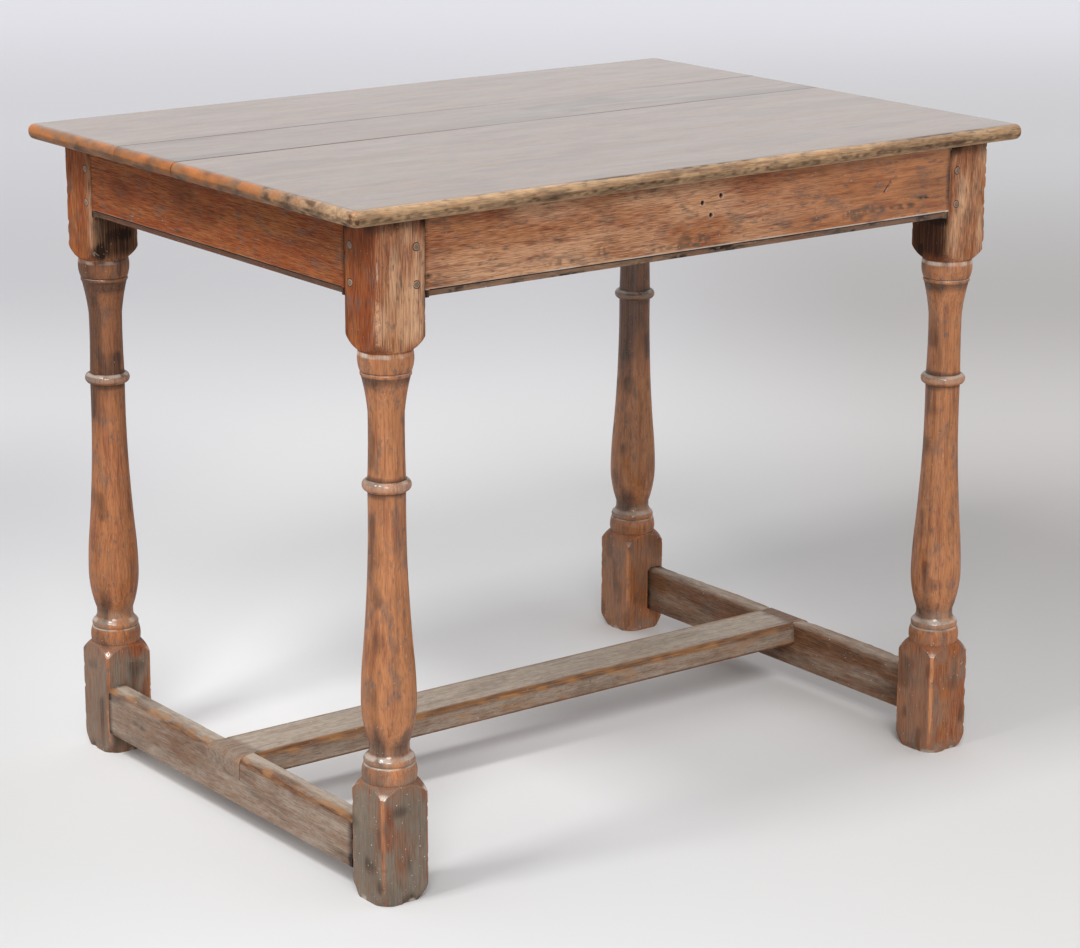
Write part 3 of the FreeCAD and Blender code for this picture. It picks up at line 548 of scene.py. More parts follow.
# %% Sides of the table
SIDE_TURNS = {"front": (1, 0), "right": (0, 1), "back": (-1, 0), "left": (0, -1)}
SIDE_AXIS = {side: abs(turn[1]) for side, turn in SIDE_TURNS.items()}
SCREW_SPACING = 250


def on_side(side, along, depth, height):
    """Places on one side of the frame: along it from its middle, inwards from its face, and up."""
    cosine, sine = SIDE_TURNS[side]
    inward = depth - frame_half[1 - SIDE_AXIS[side]]
    return points_of(cosine * along - sine * inward, sine * along + cosine * inward, height)


def screw_places(side):
    """Evenly along a long rail, and one to each board along a short one."""
    if SIDE_AXIS[side] == 0:
        return np.array([-SCREW_SPACING, 0, SCREW_SPACING])
    inside = shoulder_half[1]
    middles = [(board_joints[0] - inside) / 2, sum(board_joints) / 2, (board_joints[1] + inside) / 2]
    return np.array(middles) * SIDE_TURNS[side][1]


print("screws along the left rail", screw_places("left"))

# %% [markdown]
# A rail is one section carried along a line from shoulder to shoulder. The loop goes down the outer face,
# round the small scratched moulding, along the foot, up the inner face and back over the top. The tenons
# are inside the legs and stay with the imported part. A screw pocket is a leaning cylinder, so the depth of
# the inner face there is the nearer of the wall of the cylinder and its slanted seat. The front rail has
# three old nail holes with torn, pale rims and one slash.

# %% Hollows in a rail
POCKET_RADIUS, SEAT_DEPTH, SEAT_HEIGHT = 6.5, 21, 51.4
pocket_lean = np.arcsin(0.3)
NAIL_HOLES = [(23.5, 60), (-1, 55), (10.5, 41)]
NAIL_RADIUS, NAIL_RIM, NAIL_DEPTH = 3, 1.8, 2.5
SLASH = np.array(((252, 39), (262, 51)))
SLASH_WIDTH = 1.8


def rail_inner_depth(along, height, places):
    """Depth of the inner face: the rail's thickness, or in a pocket its wall or seat, if that is nearer."""
    depth = np.full(np.broadcast(along, height).shape, rail_thickness)
    for place in places:
        half_width = np.sqrt(np.clip(POCKET_RADIUS**2 - (along - place) ** 2, 0, None))
        wall = SEAT_DEPTH + (SEAT_HEIGHT - height) * np.tan(pocket_lean) - half_width / np.cos(pocket_lean)
        seat = SEAT_DEPTH + (height - SEAT_HEIGHT) / np.tan(pocket_lean)
        hollow = np.where(half_width > 0, np.maximum(wall, seat), rail_thickness)
        depth = np.minimum(depth, hollow)
    return depth


def rail_scars(along, height):
    """Share of the nails' depth by distance from each hole and from the slash, and the rims of the holes."""
    scars, rims = np.zeros((2, *np.broadcast(along, height).shape))
    for place, level in NAIL_HOLES:
        away = np.hypot(along - place, height - level)
        scars = np.maximum(scars, ramp(away, NAIL_RADIUS, NAIL_RADIUS * 0.6))
        rim = ramp(away, NAIL_RADIUS + NAIL_RIM, NAIL_RADIUS) * ramp(away, NAIL_RADIUS * 0.7, NAIL_RADIUS)
        rims = np.maximum(rims, rim * 0.5)
    stroke = SLASH[1] - SLASH[0]
    offset = points_of(along, height) - SLASH[0]
    share = np.clip(offset @ stroke / (stroke @ stroke), 0, 1)
    away = np.hypot(*np.moveaxis(offset - share[..., None] * stroke, -1, 0))
    return np.stack([np.maximum(scars, ramp(away, SLASH_WIDTH, 0.5) * 0.7), rims])


print("pockets lean by", np.degrees(pocket_lean), "degrees")

# %% [markdown]
# The front rail has stood in the light: it is faded on the left, and redder and glossier to the right.
# Shoes and chairs have scuffed its lower half. The insides of all four are raw and dusty. Each outer face
# has a little painted shade along its top, under the edge of the top.

# %% Shape the rails
MOULDING_HEIGHT, MOULDING_DEPTH, MOULDING_QUIRK, MOULDING_STOP = 8, 5, 1.3, 5
STOP_RUN, FACE_WAVE, FACE_SETBACK = 0.9, 0.35, 0.05


def rail_section(along, reach, places):
    """Height and depth of the section at each station. The moulding fades out where its plain ends begin."""
    fade_at = reach - MOULDING_STOP
    moulded = ramp(np.abs(along), fade_at + STOP_RUN, fade_at - STOP_RUN)
    face_height = np.append(np.linspace(rail_height, MOULDING_HEIGHT + 0.5, 72), [MOULDING_HEIGHT] * 2)
    curve_foot = MOULDING_HEIGHT - MOULDING_QUIRK
    curve = arc((MOULDING_QUIRK, curve_foot), (4, curve_foot * 0.42), (MOULDING_DEPTH, 0), 9)
    foot_share = np.linspace(0, 1, 9)[1:]
    near_seat = np.linspace(20, 53, 45)
    inner_height = [np.linspace(0, 19, 5)[1:], near_seat, np.linspace(54, rail_height, 7)]
    inner_height = np.concatenate(inner_height)
    top_depth = np.linspace(rail_thickness, 0, 7)[1:-1]
    outer_depth = np.concatenate([0 * face_height[:-1], [MOULDING_QUIRK], curve[:, 0]]) * moulded
    foot = MOULDING_DEPTH * moulded * (1 - foot_share) + rail_thickness * foot_share
    inner = rail_inner_depth(along, inner_height, places)
    over = np.broadcast_to(top_depth, (len(along), len(top_depth)))
    height = [face_height, curve[:, 1], 0 * foot_share, inner_height, 0 * top_depth + rail_height]
    depth = np.concatenate([outer_depth, foot, inner, over], axis=1)
    return np.concatenate(height), depth, outer_depth.shape[1]


def make_rail(side, seed):
    """A rail's section over a line of stations, which crowd at the pockets, the stops and the nail holes."""
    name, axis, in_front = f"rail_{side}", SIDE_AXIS[side], side == "front"
    reach, places = shoulder_half[axis], screw_places(side)
    near = (places[:, None] + np.linspace(-1, 1, 21) * (POCKET_RADIUS + 0.3)).ravel()
    stops = np.add.outer([-reach + MOULDING_STOP, reach - MOULDING_STOP], [-STOP_RUN, STOP_RUN]).ravel()
    stations = [np.linspace(-reach, reach, int(reach / 1.6)), near, stops]
    if in_front:
        stations += [hole[0] + np.linspace(-1, 1, 13) * (NAIL_RADIUS + 1) for hole in NAIL_HOLES]
    along = np.unique(np.concatenate(stations))[:, None]
    height, depth, outer_count = rail_section(along, reach, places)
    from_edge = np.arange(len(height)) - outer_count
    outside = from_edge < 0
    flat = on_side(side, along, depth, rail_low[2] + height)
    depth = depth + (hills(flat, (90, 90, 30), seed) * FACE_WAVE + FACE_SETBACK) * outside
    scars, rims = rail_scars(along, height) * outside * in_front
    depth = depth + NAIL_DEPTH * scars
    grid = on_side(side, along, depth, rail_low[2] + height)

    bead = (from_edge > -10) & (from_edge < 2)
    crest = (np.abs(height - MOULDING_HEIGHT - 0.4) < 0.6) & outside
    rubbed = 0.5 + 0.5 * ramp(hills(grid, (30, 30, 8), seed + 1), 0.15, 0.6)
    wear = crest * rubbed * (1 if in_front else 0.3) + rims
    quirk = (np.abs(height - MOULDING_HEIGHT + 0.7) < 0.8) & outside & (depth > 1)
    low_half = ramp(height, rail_height * 0.75, rail_height * 0.25) * outside * in_front
    scuffs = ramp(hills(grid, (26, 26, 7), seed + 4) * low_half, 0.5, 0.75)
    scuffs = scuffs * ramp(hills(grid, 4, seed + 5), 0.2, 0.6)
    # The top 8 mm of each outer face get painted shade from the top's overhang.
    dirt_and_shade = quirk * 0.9 + bead * 0.45 + ramp(height, rail_height - 8, rail_height) * 0.15 * outside
    dirt_and_shade = dirt_and_shade + ramp(np.abs(along), reach - 7, reach) * 0.5
    dirt_and_shade = dirt_and_shade + ramp(hills(grid, 60, seed + 2), 0.6, 0.85) * 0.35 + scuffs * 0.5 + scars
    dust = bead * 0.5 + scuffs * 0.4 + 0.6 * ~outside
    redder = ramp(along / reach, -0.2, 1) * in_front
    faded = 0.75 * in_front * (0.5 + 0.6 * ramp(hills(grid, (70, 70, 25), seed + 3), 0.25, 0.75))
    faded, glossed = faded * (1 - 0.8 * redder) * outside, 0.05 + 0.85 * redder
    marks = wood_marks(grid, axis, seed, wear, dirt_and_shade, dust, faded, glossed)
    faces = bar_faces(*depth.shape)
    return make_piece(f"moulded_{name}", grid, faces, marks, name)


rails = [make_rail(side, 200 + 10 * number) for number, side in enumerate(SIDE_TURNS)]

# %% [markdown]
# ## End stretchers
#
# These are the bars people rest their feet on. The outer upper arris is worn round, more in some places
# than in others, so the size of that rounding is a value along the bar. The inner arris is chamfered.

# %% Section of a stretcher
stretcher_low, stretcher_high = span("stretcher_left")
centre_low, centre_high = span("stretcher_centre")
stretcher_thickness = stretcher_high[0] - stretcher_low[0]
stretcher_height = stretcher_high[2] - stretcher_low[2]
socket_height = centre_low[2] - stretcher_low[2]
WEAR_WIDTH, WEAR_HEIGHT, INNER_CUT = 9, 7.5, 4


def stretcher_section(worn):
    """Depth and height: face, foot, back, chamfer, top and worn arris, whose size varies along the bar."""
    face = np.linspace(1, 0, 24)
    foot, back, cut, over = (np.linspace(0, 1, count)[1:] for count in (8, 12, 4, 7))
    turn = np.linspace(0, np.pi / 2, 12)[1:-1]
    wide, deep = WEAR_WIDTH * worn, WEAR_HEIGHT * worn
    none = np.zeros_like(worn)
    thick, tall = stretcher_thickness, stretcher_height
    depth = [none * face, thick * foot + none, thick + none * back, thick - INNER_CUT * cut + none]
    depth += [(thick - INNER_CUT) * (1 - over) + wide * over, wide * (1 - np.sin(turn))]
    height = [(tall - deep) * face, none * foot, (tall - INNER_CUT) * back + none]
    height += [tall - INNER_CUT + INNER_CUT * cut + none, tall + none * over]
    height += [tall - deep * (1 - np.cos(turn))]
    rest = np.full(len(cut) + len(over) + len(turn), socket_height)
    sunk = [socket_height * face, 0 * foot, socket_height * back, rest]
    return np.concatenate(depth, axis=1), np.concatenate(height, axis=1), np.concatenate(sunk)


print("sockets", socket_height, "mm up")

# %% [markdown]
# In the middle the bar is cut down for the dovetail of the centre stretcher, so stations are paired there,
# and they slant with the sides of the dovetail. Dust lies thick on the top and in smears on the face, and
# the worn arris shows tan through it.

# %% Shape the end stretchers
TAIL_ROOT, TAIL_TIP, SOCKET_ROOM = 28, 32.5, 0.15
FACE_HOLLOW, FACE_BACK, TREAD_WEAR = 0.6, 0.1, 1.2
FACE_DUST = {"left": 0.47, "right": 0.28}


def make_end_stretcher(side, seed):
    """The section over stations that meet the sides of the socket, where it is only as high as the socket."""
    name = f"stretcher_{side}"
    reach = shoulder_half[1]
    share = np.linspace(0, 1, 90)[:, None]
    across = np.linspace(-1, 1, 16)[:, None]
    rough = np.concatenate([-1 + share * 0.9, across * 0.1, 0.1 + share * 0.9])[:, 0] * reach
    line = points_of(rough, 0, 0)
    worn = 0.6 + 0.75 * hills(line, 70, seed) + 0.2 * hills(line, 9, seed + 1)
    depth, height, sunk = stretcher_section(worn[:, None])
    tail = TAIL_TIP + (TAIL_ROOT - TAIL_TIP) * depth / stretcher_thickness + SOCKET_ROOM
    first, last = len(share), len(share) + len(across)
    along = np.empty_like(depth)
    along[:first] = -reach + (reach - tail[:first]) * share
    along[first:last] = tail[first:last] * across
    along[last:] = tail[last:] + (reach - tail[last:]) * share
    height[first:last] = sunk
    flat = on_side(side, along, depth, stretcher_low[2] + height)
    face = (depth < 0.5) & (height < stretcher_height - 2)
    depth = depth + (hills(flat, (50, 50, 22), seed + 2) * FACE_HOLLOW + FACE_BACK) * face
    on_top = height > stretcher_height - 0.1
    height = height - ramp(hills(flat, (30, 30, 30), seed + 3), 0.5, 1) * TREAD_WEAR * on_top
    grid = on_side(side, along, depth, stretcher_low[2] + height)

    up = height / stretcher_height
    rubbed = 0.15 + 0.5 * ramp(hills(grid, (7, 14, 5), seed + 4), 0.3, 0.8)
    on_arris = ramp(up, 0.84, 0.93) * ramp(depth, WEAR_WIDTH + 4, WEAR_WIDTH - 3)
    wear = on_arris * rubbed + ramp(up, 0.06, 0) * 0.3
    dirt_and_shade = ramp(np.abs(along), reach - 10, reach) * 0.6 + ramp(np.abs(along), reach - 120, reach) * 0.2
    dirt_and_shade = dirt_and_shade + ramp(hills(grid, (12, 60, 12), seed + 5), 0.5, 0.8) * 0.35
    smear = 0.6 * hills(grid, (20, 90, 16), seed + 6) + 0.4 * hills(grid, (6, 25, 5), seed + 7) - 0.5
    dust = FACE_DUST[side] + 0.5 * smear + 0.4 * ramp(up, 0.9, 1) - 0.3 * on_arris
    marks = wood_marks(grid, 1, seed, wear, dirt_and_shade, dust, 0, 0.1)
    faces = bar_faces(*depth.shape)
    return make_piece(f"worn_{name}", grid, faces, marks, name)


end_stretchers = [make_end_stretcher("left", 300), make_end_stretcher("right", 310)]

# %% [markdown]
# ## Centre stretcher
#
# A flat bar with a small rounded moulding on both upper edges. Its ends are dovetails, let down into the
# end stretchers, and their end grain shows in the outer faces. They are worn with the arris around them,
# and as dusty as it is. The bar between them is the dustiest piece of all.

# %% Shape the centre stretcher
CENTRE_HALF, CENTRE_ROUND, CENTRE_FILLET = 35, 5.2, 1.5
TAIL_STATIONS, BAR_STATIONS = 14, 230
TOP_HOLLOW, EDGE_FRAY = 0.8, 1.2
centre_thickness = centre_high[2] - centre_low[2]
tail_at = frame_half[0] - stretcher_thickness


def make_centre_stretcher(name, seed):
    """The bar's section from end to end. Past the shoulders it is no wider than the dovetail there."""
    step = centre_thickness - CENTRE_ROUND
    flat = CENTRE_HALF - CENTRE_FILLET - CENTRE_ROUND
    turn = np.linspace(0, np.pi / 2, 9)
    rounding = points_of(flat + CENTRE_ROUND * np.sin(turn), step + CENTRE_ROUND * np.cos(turn))
    edge = np.concatenate([rounding, points_of(CENTRE_HALF, np.linspace(step, 0, 9))])
    under = points_of(np.linspace(-CENTRE_HALF, CENTRE_HALF, 17)[1:-1], 0)
    over = points_of(np.linspace(flat, -flat, 25)[1:-1], centre_thickness)
    section = np.concatenate([edge * (-1, 1), under, edge[::-1], over])
    tails = np.linspace(tail_at, frame_half[0], TAIL_STATIONS)
    bar = np.linspace(-tail_at, tail_at, BAR_STATIONS)
    along = np.concatenate([-tails[::-1], bar, tails])[:, None]
    in_tail = np.repeat([True, False, True], [TAIL_STATIONS, BAR_STATIONS, TAIL_STATIONS])[:, None]
    half = TAIL_ROOT + (TAIL_TIP - TAIL_ROOT) * (np.abs(along) - tail_at) / stretcher_thickness
    across = np.where(in_tail, np.clip(section[:, 0], -half, half), section[:, 0])
    rim_gap = frame_half[0] - np.abs(along)
    worn_top = centre_thickness - WEAR_HEIGHT / WEAR_WIDTH * drop(rim_gap, WEAR_WIDTH)
    height = np.minimum(section[:, 1], worn_top)
    unworn = points_of(along, across, height)
    on_top = (section[:, 1] > centre_thickness - 0.1) & ~in_tail
    front = (np.abs(section[:, 0]) > CENTRE_HALF - 2) & (section[:, 1] > 0.5)
    height = height - ramp(hills(unworn, (26, 26, 9), seed), 0.45, 1) * TOP_HOLLOW * on_top
    frayed = hills(unworn, (6, 6, 2.5), seed + 1) * EDGE_FRAY * front * ~in_tail
    grid = points_of(along, across - np.sign(across) * frayed, height + centre_low[2])

    patchy = hills(grid, (14, 5, 4), seed + 2)
    rounded = (section[:, 1] > step - 0.1) & (np.abs(section[:, 0]) > flat - 1)
    wear = rounded * (0.25 + 0.35 * ramp(patchy, 0.3, 0.8)) + front * ramp(patchy, 0.5, 0.8) * 0.5
    dirt_and_shade = ramp(hills(grid, (60, 12, 12), seed + 3), 0.5, 0.8) * 0.3
    dirt_and_shade = dirt_and_shade + ramp(np.abs(along), tail_at - 12, tail_at) * 0.4 * ~in_tail + ramp(rim_gap, 2, 0.2) * 0.2
    dust = (0.8 * on_top + 0.55 * front) * (1 - 0.4 * rounded)
    dust = np.where(in_tail, np.where(along < 0, FACE_DUST["left"], FACE_DUST["right"]), dust)
    marks = wood_marks(grid, 0, seed, wear, dirt_and_shade, dust, 0, 0.1)
    faces = bar_faces(*grid.shape[:2])
    return make_piece(f"worn_{name}", grid, faces, marks, name)


centre_stretcher = make_centre_stretcher("stretcher_centre", 320)

# %% [markdown]
# ## Pegs
#
# Riven oak pegs stand a hair proud of the leg. Each is a small disc: a domed end with a painted highlight
# round its edge, a dark line round it where the hole has opened, and a short way into the wood. They were
# split, not turned, so none is quite round.

# %% Drive the pegs
PEG_SETBACK, PEG_ANGLES = 11, 40
PEG_HEIGHTS = (14.5, 51.5)
PEG_RADII = np.array((0, 1.4, 2.5, 3.2, 3.6, 3.7, 3.75, 4.3, 4.3, 0))
PEG_PROUD = np.array((0.75, 0.72, 0.62, 0.45, 0.2, 0, 0.2, 0.2, -2, -2))


def make_rail_pegs(side, seed):
    """Discs over a grid of profile points and angles. The radius swells a little to two or three sides."""
    reach = shoulder_half[SIDE_AXIS[side]] + PEG_SETBACK
    angle = np.linspace(0, 2 * np.pi, PEG_ANGLES, endpoint=False)
    cosine, sine = np.cos(angle), np.sin(angle)
    chance = np.random.default_rng(seed)
    grids, faces = [], []
    for place in (-reach, reach):
        for height in PEG_HEIGHTS:
            shape = 1 + 0.05 * np.cos(2 * angle + chance.uniform(0, 6))
            shape = shape + 0.03 * np.cos(3 * angle + chance.uniform(0, 6))
            away = np.outer(PEG_RADII, shape)
            proud = PEG_PROUD[:, None] + away * chance.uniform(-0.06, 0.06) * cosine
            level = rail_low[2] + height + away * sine
            grids.append(on_side(side, place + away * cosine, -proud, level))
            faces.append(grid_faces(len(PEG_RADII), PEG_ANGLES, wrap=True) + len(faces) * away.size)
    grid = np.stack(grids)
    ring = PEG_RADII[:, None] + np.zeros(PEG_ANGLES)
    # The ring at the edge of the dome is painted pale, a painted highlight in the rubbed colour.
    wear = ramp(ring, 2.2, 3.2) * ramp(ring, 3.6, 3.4)
    marks = wood_marks(grid, 1 - SIDE_AXIS[side], seed, wear, ramp(ring, 3.5, 3.7), 0.4)
    faces = [np.concatenate(faces)[:, ::-1]]
    return make_piece(f"riven_pegs_{side}", grid, faces, marks, f"pegs_rail_{side}")


pegs = [make_rail_pegs(side, 400 + number) for number, side in enumerate(SIDE_TURNS)]

# %% [markdown]
# ## Materials
#
# Colours are written as they look on a screen and turned into the light values that the shader works with.
# One small function adds a node, sets it and links it, and a few short ones name the nodes that are used
# most, so that a material reads as a list of what lies over what.

# %% Colours and nodes


def colour(code):
    """A screen colour such as 8a5a3c as light: (c + 0.055) / 1.055 to the power 2.4, or c / 12.92 below."""
    parts = np.array([int(code[place : place + 2], 16) for place in (0, 2, 4)]) / 255
    light = np.where(parts > 0.04045, ((parts + 0.055) / 1.055) ** 2.4, parts / 12.92)
    return (*light.tolist(), 1.0)


def set_inputs(node, inputs):
    """Sets a node's inputs. Each is a value, or the output socket of another node, which is then linked."""
    for name, value in inputs.items():
        if isinstance(value, bpy.types.NodeSocket):
            node.id_data.links.new(value, node.inputs[name])
        else:
            node.inputs[name].default_value = value


def add(tree, kind, inputs=None, **settings):
    """A node of that kind with its settings and inputs, as its first output."""
    node = tree.nodes.new(kind)
    for name, value in settings.items():
        setattr(node, name, value)
    set_inputs(node, inputs or {})
    return node.outputs[0]


def reckon(tree, operation, *values):
    """One step of arithmetic on numbers and outputs."""
    return add(tree, "ShaderNodeMath", dict(enumerate(values)), operation=operation)


def scaled(tree, value, start=0.0, full=1.0, least=0.0, most=1.0):
    """A value moved straight from one range to another, and held at its ends."""
    limits = {"Value": value, "From Min": start, "From Max": full, "To Min": least, "To Max": most}
    return add(tree, "ShaderNodeMapRange", limits)


def blend(tree, share, under, over):
    """One colour over another, as a share of it."""
    return add(tree, "ShaderNodeMixRGB", {"Fac": share, "Color1": under, "Color2": over})


def mark(tree, name):
    """The factor output of a vertex mark."""
    return add(tree, "ShaderNodeAttribute", attribute_name=name).node.outputs["Fac"]


def new_material(name):
    """A material with its node tree and its shader."""
    material = bpy.data.materials.new(name)
    material.use_nodes = True
    return material, material.node_tree, material.node_tree.nodes["Principled BSDF"]


print("oak brown", colour("8a5a3c"))

# %% [markdown]
# ## Old oak
#
# Seen close, oak is fine streaks of early and late wood, crossed by short pores, under a skin of wax and
# soot. All of it is noise that is stretched along the trunk. Broad golden patches and red flames come from
# the way the board was cut. Stains, smudges and specks are what has been spilt, rubbed in and left lying.
# Pores are dark with old wax, and pale where the wood has faded. Over the wood lie the marks, and each is
# broken up by a noise, so that its edge follows the grain instead of fading like paint.

# %% Layers over wood
# Cells per metre along the trunk and across it, and the detail of the noise. Patches are about 110 by 22
# mm, flames 70 by 6, streaks 90 by 1.6, stains 33 by 17, smudges 11 by 5 and specks 2.6 mm. Real pores are
# about a third of a millimetre wide. They are drawn at 0.67 mm, since finer ones would be lost in the
# picture.
NOISES = {
    "patch": ((9, 45, 45), 3.0),
    "flame": ((14, 160, 160), 3.0),
    "streak": ((11, 620, 620), 4.0),
    "pore": ((60, 1500, 1500), 1.0),
    "smudge": ((90, 190, 190), 5.0),
    "stain": ((30, 60, 60), 3.0),
    "speck": ((380, 380, 380), 1.0),
}
# Noise, where a layer starts and where it is full, its most, and its colour.
LAYERS = [
    ("patch", 0.42, 0.66, 0.6, "gold"),
    ("flame", 0.5, 0.68, 0.65, "red"),
    ("streak", 0.5, 0.3, 0.45, "streak"),
    ("streak", 0.56, 0.74, 0.35, "pale"),
    ("stain", 0.54, 0.68, 0.48, "soot"),
    ("smudge", 0.56, 0.68, 0.65, "soot"),
]
# Where a pore starts and is full, its most in fresh and in faded wood, and its colour.
PORES = [(0.52, 0.62, 0.5, 0.35, "grime"), (0.48, 0.38, 0.1, 0.6, "faded")]


def cover(tree, under, amount, breakup, code):
    """A layer of one colour over another, as strong as its mark, with an edge broken up by a noise."""
    strength = reckon(tree, "MULTIPLY", amount, reckon(tree, "ADD", breakup, 0.5))
    return blend(tree, scaled(tree, strength, 0.2, 0.9), under, colour(code))


def stretched_noise(tree, place, scale, detail):
    """Noise in the tree's own directions, with its scale along the trunk and across it."""
    spread = add(tree, "ShaderNodeVectorMath", {0: place, 1: scale}, operation="MULTIPLY")
    settings = {"Vector": spread, "Scale": 1.0, "Detail": detail, "Roughness": 0.6}
    return add(tree, "ShaderNodeTexNoise", settings)


print("layers of oak:", [layer[-1] for layer in LAYERS])

# %% [markdown]
# Polish makes the wood lighter and smoother and lays a thin coat of wax on it, faded wood is duller, and
# dust hides both colour and pores. A scuffed coat loses its glint at a glancing view, so on the frame it
# fades there, while the wiped top keeps it all and shows the sky of the room. Streaks and pores are felt as
# shallow grooves.

# %% Mix the oak
GROOVE_DEPTH, WOOD_IOR, WAX_ROUGHNESS = 0.6 * MM, 1.45, 0.1


def oak(name, codes, gloss, dullness, relief, edge_loss):
    """Oak: body or polished wood, then patches, streaks, pores and smudges, then what its marks say."""
    material, tree, shader = new_material(name)
    place = add(tree, "ShaderNodeAttribute", attribute_name="grain").node.outputs["Vector"]
    noise = {kind: stretched_noise(tree, place, *facts) for kind, facts in NOISES.items()}
    fade, polish, dust = mark(tree, "bleach"), mark(tree, "polish"), mark(tree, "dust")
    wood = blend(tree, polish, colour(codes["body"]), colour(codes["polished"]))
    wood = cover(tree, wood, fade, noise["patch"], codes["faded"])
    for kind, start, full, most, code in LAYERS:
        wood = blend(tree, scaled(tree, noise[kind], start, full, 0.0, most), wood, colour(codes[code]))
    cloud = reckon(tree, "ADD", reckon(tree, "ADD", noise["smudge"], noise["flame"]), -0.5)
    wood = cover(tree, wood, dust, cloud, codes["film"])
    bare = scaled(tree, reckon(tree, "MAXIMUM", polish, dust), 0.0, 1.0, 1.0, 0.35)
    for start, full, fresh, dry, code in PORES:
        most = reckon(tree, "MULTIPLY", scaled(tree, fade, 0.0, 1.0, fresh, dry), bare)
        wood = blend(tree, scaled(tree, noise["pore"], start, full, 0.0, most), wood, colour(codes[code]))
    # Old wax and soot, and the painted shade of the legs and rails, which shares their mark, in the grime
    # colour.
    wood = cover(tree, wood, mark(tree, "dirt_and_shade"), noise["streak"], codes["grime"])
    # Rubbed wood, and the painted highlights of the legs and pegs, which share its mark, in the rubbed
    # colour.
    wood = cover(tree, wood, mark(tree, "wear"), noise["streak"], codes["rubbed"])
    grit = reckon(tree, "MULTIPLY_ADD", dust, 0.7, 0.3)
    crumbs = reckon(tree, "MULTIPLY", scaled(tree, noise["speck"], 0.74, 0.78), grit)
    wood = blend(tree, crumbs, wood, colour(codes["speck"]))
    dull = reckon(tree, "MULTIPLY_ADD", fade, 0.12, dullness)
    dull = reckon(tree, "MULTIPLY_ADD", noise["patch"], 0.25, dull)
    dull = reckon(tree, "MULTIPLY_ADD", polish, -0.3, dull)
    coat = polish
    if edge_loss:
        facing = add(tree, "ShaderNodeLayerWeight", {"Blend": 0.5}).node.outputs["Facing"]
        coat = reckon(tree, "MULTIPLY", polish, scaled(tree, facing, 0.0, 1.0, 1.0, 1 - edge_loss))
    grooves = reckon(tree, "MULTIPLY_ADD", noise["pore"], -0.8, noise["streak"])
    felt = add(tree, "ShaderNodeBump", {"Height": grooves, "Strength": relief, "Distance": GROOVE_DEPTH})
    set_inputs(shader, {"Base Color": wood, "Roughness": dull, "Coat Weight": coat, "Normal": felt})
    set_inputs(shader, {"Specular IOR Level": gloss, "IOR": WOOD_IOR, "Coat Roughness": WAX_ROUGHNESS})
    print("mixed", name)
    return material


# %% [markdown]
# The frame has gone red-brown under old wax, with grey-white rubbed arrises. The same grey-white paints
# highlights on the legs, and the grime paints shade on legs and rails. The top is greyer, wiped and sunned,
# and its worn ends are orange. The stretchers are dark brown under a pale film of dust. The pegs show end
# grain, which is greyer.

# %% Four finishes of oak
FRAME_OAK = {
    "body": "8c421c", "polished": "c48252", "faded": "d8aa86", "gold": "aa6c3e", "pale": "b87e50",
    "red": "7c3c22", "streak": "50291a", "grime": "2a1a12", "soot": "5e524c", "film": "887c6e",
    "rubbed": "ccbcae", "speck": "d8d0c4",
}
TOP_OAK = FRAME_OAK | {
    "body": "745a44", "polished": "7c624c", "faded": "d2ab80", "gold": "8a6a4c", "pale": "a88a6a",
    "red": "664638", "streak": "4a362c", "soot": "50463f", "grime": "4a3018", "rubbed": "b66a24",
}
FOOT_OAK = FRAME_OAK | {
    "body": "6e4830", "polished": "8a5c3c", "gold": "7c5638", "pale": "8f6c4c", "red": "603c28",
    "streak": "40281c", "soot": "4a423a", "film": "b6a898", "rubbed": "a87a50",
}
PEG_OAK = FRAME_OAK | {
    "body": "74563f", "polished": "74563f", "gold": "7c6048", "pale": "8c7058", "rubbed": "a88c74",
}
materials = {
    "oak_frame": oak("waxed_oak_turned_and_planed", FRAME_OAK, 0.12, 0.63, 0.45, 1.0),
    "oak_top": oak("waxed_oak_worn_top", TOP_OAK, 0.5, 0.45, 0.15, 0.0),
    "oak_stretcher": oak("dusty_oak_stretchers", FOOT_OAK, 0.2, 0.45, 0.5, 1.0),
    "oak_peg": oak("riven_oak_end_grain", PEG_OAK, 0.3, 0.44, 0.4, 0.5),
}

# %% [markdown]
# ## Old iron
#
# The screws under the top are wrought: dark iron with a brown bloom in patches of a millimetre or two, dull
# and no longer metal to the eye where the bloom is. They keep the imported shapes.

# %% Mix the iron


def iron(name):
    """Dark metal with a brown bloom in patches, rougher where the bloom is."""
    material, tree, shader = new_material(name)
    place = add(tree, "ShaderNodeTexCoord").node.outputs["Object"]
    bloom = add(tree, "ShaderNodeTexNoise", {"Vector": place, "Scale": 600.0, "Detail": 4.0})
    rust = scaled(tree, bloom, 0.45, 0.65)
    pitted = add(tree, "ShaderNodeBump", {"Height": bloom, "Strength": 0.4, "Distance": 0.3 * MM})
    looks = {"Base Color": blend(tree, rust, colour("4a4644"), colour("5a3a28")), "Normal": pitted}
    looks["Roughness"] = scaled(tree, rust, 0.0, 1.0, 0.4, 0.85)
    looks["Metallic"] = scaled(tree, rust, 0.0, 1.0, 0.9, 0.1)
    set_inputs(shader, looks)
    return material


old_iron = iron("wrought_iron_with_bloom")
kept = [f"screws_rail_{side}" for side in SIDE_TURNS] + ["pegs_stretcher"]
for node in kept:
    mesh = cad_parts[node].data
    mesh.materials.clear()
    mesh.materials.append(old_iron if node.startswith("screws") else materials["oak_peg"])
for slot, pieces in (
    ("oak_frame", legs + rails),
    ("oak_top", boards),
    ("oak_stretcher", [*end_stretchers, centre_stretcher]),
    ("oak_peg", pegs),
):
    for piece in pieces:
        piece.data.materials.append(materials[slot])
print("kept from the frame:", kept)

